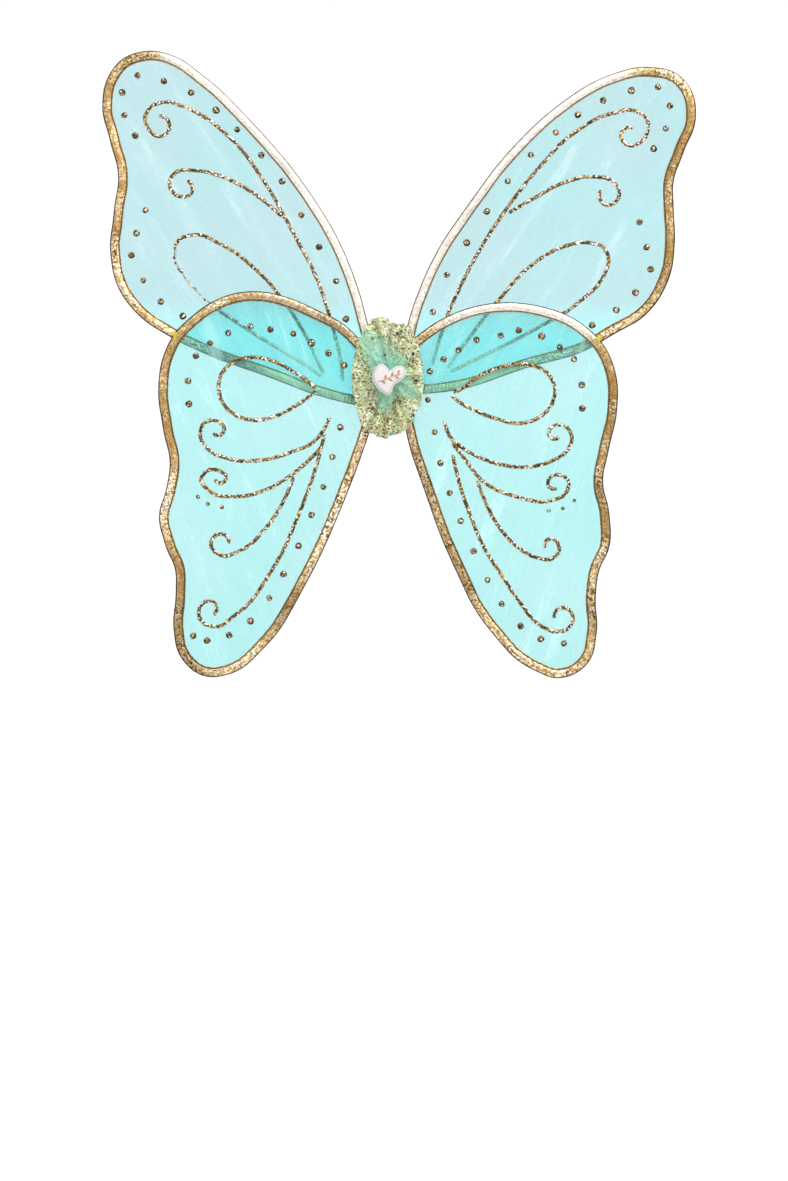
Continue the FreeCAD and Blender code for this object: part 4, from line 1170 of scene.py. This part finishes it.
def stuffed(obj, hold):
    """Blow a closed cloth form up from inside, holding the points that hold() picks."""
    start = vertices_of(obj.data)
    obj.data.vertices.foreach_set("co", (start * SIM_SCALE).astype(np.float32).ravel())
    group = obj.vertex_groups.new(name="held")
    group.add([i for i, p in enumerate(start) if hold(p)], 1.0, "REPLACE")
    cloth = obj.modifiers.new("cloth", "CLOTH").settings
    cloth.use_pressure = True
    cloth.uniform_pressure_force = 4.0
    cloth.vertex_group_mass = "held"
    cloth.effector_weights.gravity = 0.0
    for frame_number in range(1, 21):
        bpy.context.scene.frame_set(frame_number)
    apply_modifiers(obj)
    obj.vertex_groups.clear()
    bpy.context.scene.frame_set(1)
    move = vertices_of(obj.data) / SIM_SCALE - start
    far = np.linalg.norm(move, axis=1)
    return start + move * np.minimum(1.0, PUFF_CAP / np.maximum(far, 1e-9))[:, None]


def build_pad():
    """The stuffed back pad: crowned, quilted across in two places, pulled in at its seam."""
    low, high, (_, middle, _), half = box_of("back_pad_cover")
    seams = [share * half[2] for share in PAD_SEAMS]
    profile = [(0.0, 1.0), (0.55, 1.0), (0.86, 0.86), (0.965, 0.55), (1.0, 0.0), (0.965, -0.62),
               (0.88, -1.0), (0.0, -1.0)]
    around = 120
    points = [(x * max(share, 0.02), middle + half[1] * 0.80 * lift, z * max(share, 0.02))
              for share, lift in profile
              for x, z in oval_line(half[0] * 0.96, half[2] * 0.98, 7.0, around)]
    obj = new_object("back_pad_cushion", points, tube_faces(len(profile), around), "pad")
    voxel_remesh(obj, PAD_VOXEL)
    shape = stuffed(obj, lambda p: p[1] < middle - half[1] * 0.6 or (
        p[1] > middle and min(abs(p[2] - z) for z in seams) < 0.5 * MM))
    for p in shape:
        if p[1] > middle:
            p[1] -= sum(0.9 * MM * math.exp(-((p[2] - z) / (1.2 * MM)) ** 2) for z in seams)
            p[1] += 0.25 * MM * wobble(p[0], 0.0, p[2], 8 * MM)
    shape[:, 1] = np.clip(shape[:, 1], low[1], high[1])
    move_points(obj.data, shape)
    smooth = obj.modifiers.new("subdivision", "SUBSURF")
    smooth.levels = smooth.render_levels = 1
    apply_modifiers(obj)
    finish_piece(obj, "centre", "pad_cotton", "back_pad_cover", "back_pad_foam")

    tree = surface_tree(obj)
    inset = 2.2 * MM
    joined_piece("back_pad_quilting", [
        round_tube([(x + QUILT_STITCH * k / 4, depth_at(tree, x + QUILT_STITCH * k / 4, z, middle, 1)
                     + 0.18 * MM * math.sin(math.pi * k / 4), z) for k in range(5)], 0.24 * MM, 6)
        for z in seams for x in np.arange(-half[0] + inset, half[0] - inset, QUILT_PITCH)],
        "teal", "centre", "pad_cotton")

    rim = [[size * math.copysign(abs(wave(a)) ** 0.28, wave(a)) * 0.985
            for size, wave in ((half[0], math.cos), (half[2], math.sin))]
           for a in np.linspace(0, 2 * math.pi, 240)]
    joined_piece("back_pad_piping",
                 [round_tube([(x, middle, z) for x, z in along_line(rim, 1.0 * MM)], 0.7 * MM)],
                 "felt", "centre", "pad_cotton")


build_wrap()
build_felt()
build_pad()


# ---------------- straps
ELASTIC_HALF = 0.6 * MM         # half the elastic's thickness
ZIGZAG_STEPS, ZIGZAG_HALF = 22, 0.8 * MM
ZIGZAG_FROM_END = (16 * MM, 4.5 * MM)   # the two rows' distance from a sewn end's tip


def strap_line(low, high, tab_low, tab_high):
    """The elastic's middle line, from one sewn end round the arm to the other."""
    flat = (tab_low[1] + tab_high[1]) / 2
    top = high[2] - ELASTIC_HALF
    far = high[1] - ELASTIC_HALF - top
    upper = [(flat + y * MM, tab_high[2] + z * MM) for y, z in (
        (0, -20), (0, -13), (0, -5.5), (1.6, -1.6), (6.0, 0.4), (13, 1.7), (45, 4.4))]
    upper += [(far, top)]
    round_end = [(far + top * math.cos(a), top * math.sin(a))
                 for a in np.linspace(math.pi / 2, -math.pi / 2, 13)[1:-1]]
    lower = [(y, -z) for y, z in reversed(upper)]
    x = (low[0] + high[0]) / 2
    return along_line(through([(x, y, z) for y, z in upper + round_end + lower]), 1.5 * MM)


def build_strap(side_name):
    """The elastic loop, ribbed along its length, and the zigzags that hold its ends."""
    low, high, _, half = box_of(side_name + "_strap_loop")
    tab_low, tab_high, _, _ = box_of(side_name + "_strap_sewn_ends")
    line = strap_line(low, high, tab_low, tab_high)
    section = []
    for face in (1, -1):
        for u in np.linspace(-1, 1, 19):
            rib = 0.12 * MM * math.cos(u * math.pi * 6)
            edge = 0.30 * MM if abs(u) > 0.97 else 0.0
            section.append((u * half[0] * face, face, ELASTIC_HALF * 0.86 + rib - edge))
    points = []
    for i, (middle, way) in enumerate(zip(line, line_ways(line))):
        up = np.cross((1.0, 0.0, 0.0), way)
        ripple = 0.04 * MM * math.sin(i * 2.1)
        points += [middle + np.array([across, 0, 0]) + up * face * (lift + ripple)
                   for across, face, lift in section]
    obj = new_object(side_name + "_strap_elastic", points, tube_faces(len(line), len(section)),
                     "elastic")
    x, base = float(line[0][0]), float(tab_high[1])
    finish_piece(obj, None, "strap_elastic", side_name + "_strap_loop",
                 side_name + "_strap_sewn_ends")
    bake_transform(obj)

    wide = 2 * box_of(side_name + "_strap_bar_tacks")[3][0]
    joined_piece(side_name + "_strap_zigzag", [
        round_tube([(x + wide * (-0.5 + k / ZIGZAG_STEPS), base + 0.18 * MM,
                     way * (tab_high[2] - end) + (ZIGZAG_HALF if k % 2 else -ZIGZAG_HALF))
                    for k in range(ZIGZAG_STEPS + 1)], 0.22 * MM, 6)
        for way in (1, -1) for end in ZIGZAG_FROM_END],
        "white", "centre", "white_thread", side_name + "_strap_bar_tacks")


# ---------------- yellow thread at the crossings
def build_tack(side_name):
    """Turns of thread round both wires, with a stray end along the binding."""
    side = SIDES[side_name]
    _, _, centre, half = box_of(side_name + "_crossing_tack")
    radius = half[2] - 0.3 * MM
    lashing = np.array([-side * 0.98, 0.0, 0.18])
    lashing /= np.linalg.norm(lashing)
    rise, depth = np.cross(lashing, (0.0, 1.0, 0.0)), np.array([0.0, 0.96, 0.0])
    steps, turns, spread = 30, 4, 2.6 * MM
    line = []
    for k, a in enumerate([*circle(steps, turns), 2 * math.pi * turns]):
        wide = radius * (1 + 0.06 * wobble(k * 0.11, side, 0.0, 1.0))
        slide = (k / (turns * steps) - 0.5) * spread
        line.append(centre + lashing * slide + wide * (math.cos(a) * rise + math.sin(a) * depth))
    stray = [(1.0, 0.0, -2.2), (-1.5, -0.9, 0.6), (-2.8, -0.8, 3.0), (-0.4, -1.0, 1.6),
             (-3.6, -0.7, 4.2), (-7.5, -0.2, 5.0)]
    front = centre + np.array([0, -radius, 0])
    loop = through([front + np.array([side * x, y, z]) * MM for x, y, z in stray], 8)
    joined_piece(side_name + "_tack_thread",
                 [round_tube(line, 0.32 * MM, 7), round_tube(loop, 0.26 * MM, 7)],
                 "yellow", side_name + "_wings", "yellow_thread", side_name + "_crossing_tack")


for side_name in SIDES:
    build_strap(side_name)
    build_tack(side_name)


# ---------------- stage, light and camera
def build_stage():
    """A round floor that curves up into a low wall, so that every side has the same backdrop."""
    floor, reach, bend, top, around = -0.95, 3.6, 0.9, 2.6, 96
    profile = [(0.01, floor), (1.5, floor), (reach - bend, floor)]
    profile += [(reach - bend + bend * math.sin(a), floor + bend - bend * math.cos(a))
                for a in np.linspace(0, math.pi / 2, 17)[1:]]
    profile += [(reach, top)]
    points = [(r * math.cos(a), r * math.sin(a), z) for r, z in profile for a in circle(around)]
    faces = tube_faces(len(profile), around, cap=False) + [range(around)[::-1]]
    new_object("studio_floor", points, faces, "paper")


def area_light(name, at, target, size, power):
    data = bpy.data.lights.new(name, "AREA")
    data.shape = "RECTANGLE"
    data.size, data.size_y = size
    data.energy = power
    obj = place(name, data)
    obj.location = at
    obj.rotation_euler = (Vector(target) - Vector(at)).to_track_quat("-Z", "Y").to_euler()


build_stage()
area_light("key", (0.9, -1.5, 1.5), (0, 0, -0.05), (2.2, 1.4), 50)
area_light("fill", (-1.8, -1.5, 0.3), (0, 0, -0.1), (0.6, 1.4), 9)
area_light("top", (0.0, 0.1, 2.2), (0, 0.1, -0.1), (2.0, 1.4), 18)
for name, side in SIDES.items():
    area_light("backdrop_" + name, (side * 1.6, 1.1, 1.5), (side * 0.3, 3.6, -0.3), (1.6, 1.0), 20)

world = bpy.data.worlds.new("studio")
world.use_nodes = True
sky = world.node_tree.nodes["Background"].inputs
sky[0].default_value = (0.93, 0.95, 1.0, 1)
sky[1].default_value = 0.42
bpy.context.scene.world = world
bpy.context.scene.view_settings.view_transform = "Standard"

camera = place("camera", bpy.data.cameras.new("camera"))
camera.data.sensor_width = 36.0
camera.data.lens = 65.6
camera.location = (4.65 * MM, -2.025, -197.6 * MM)
camera.rotation_euler = (math.pi / 2, 0, 0)
bpy.context.scene.camera = camera


# ---------------- sizes and the end
def corners(box):
    return [[float(v) for v in corner] for corner in box]
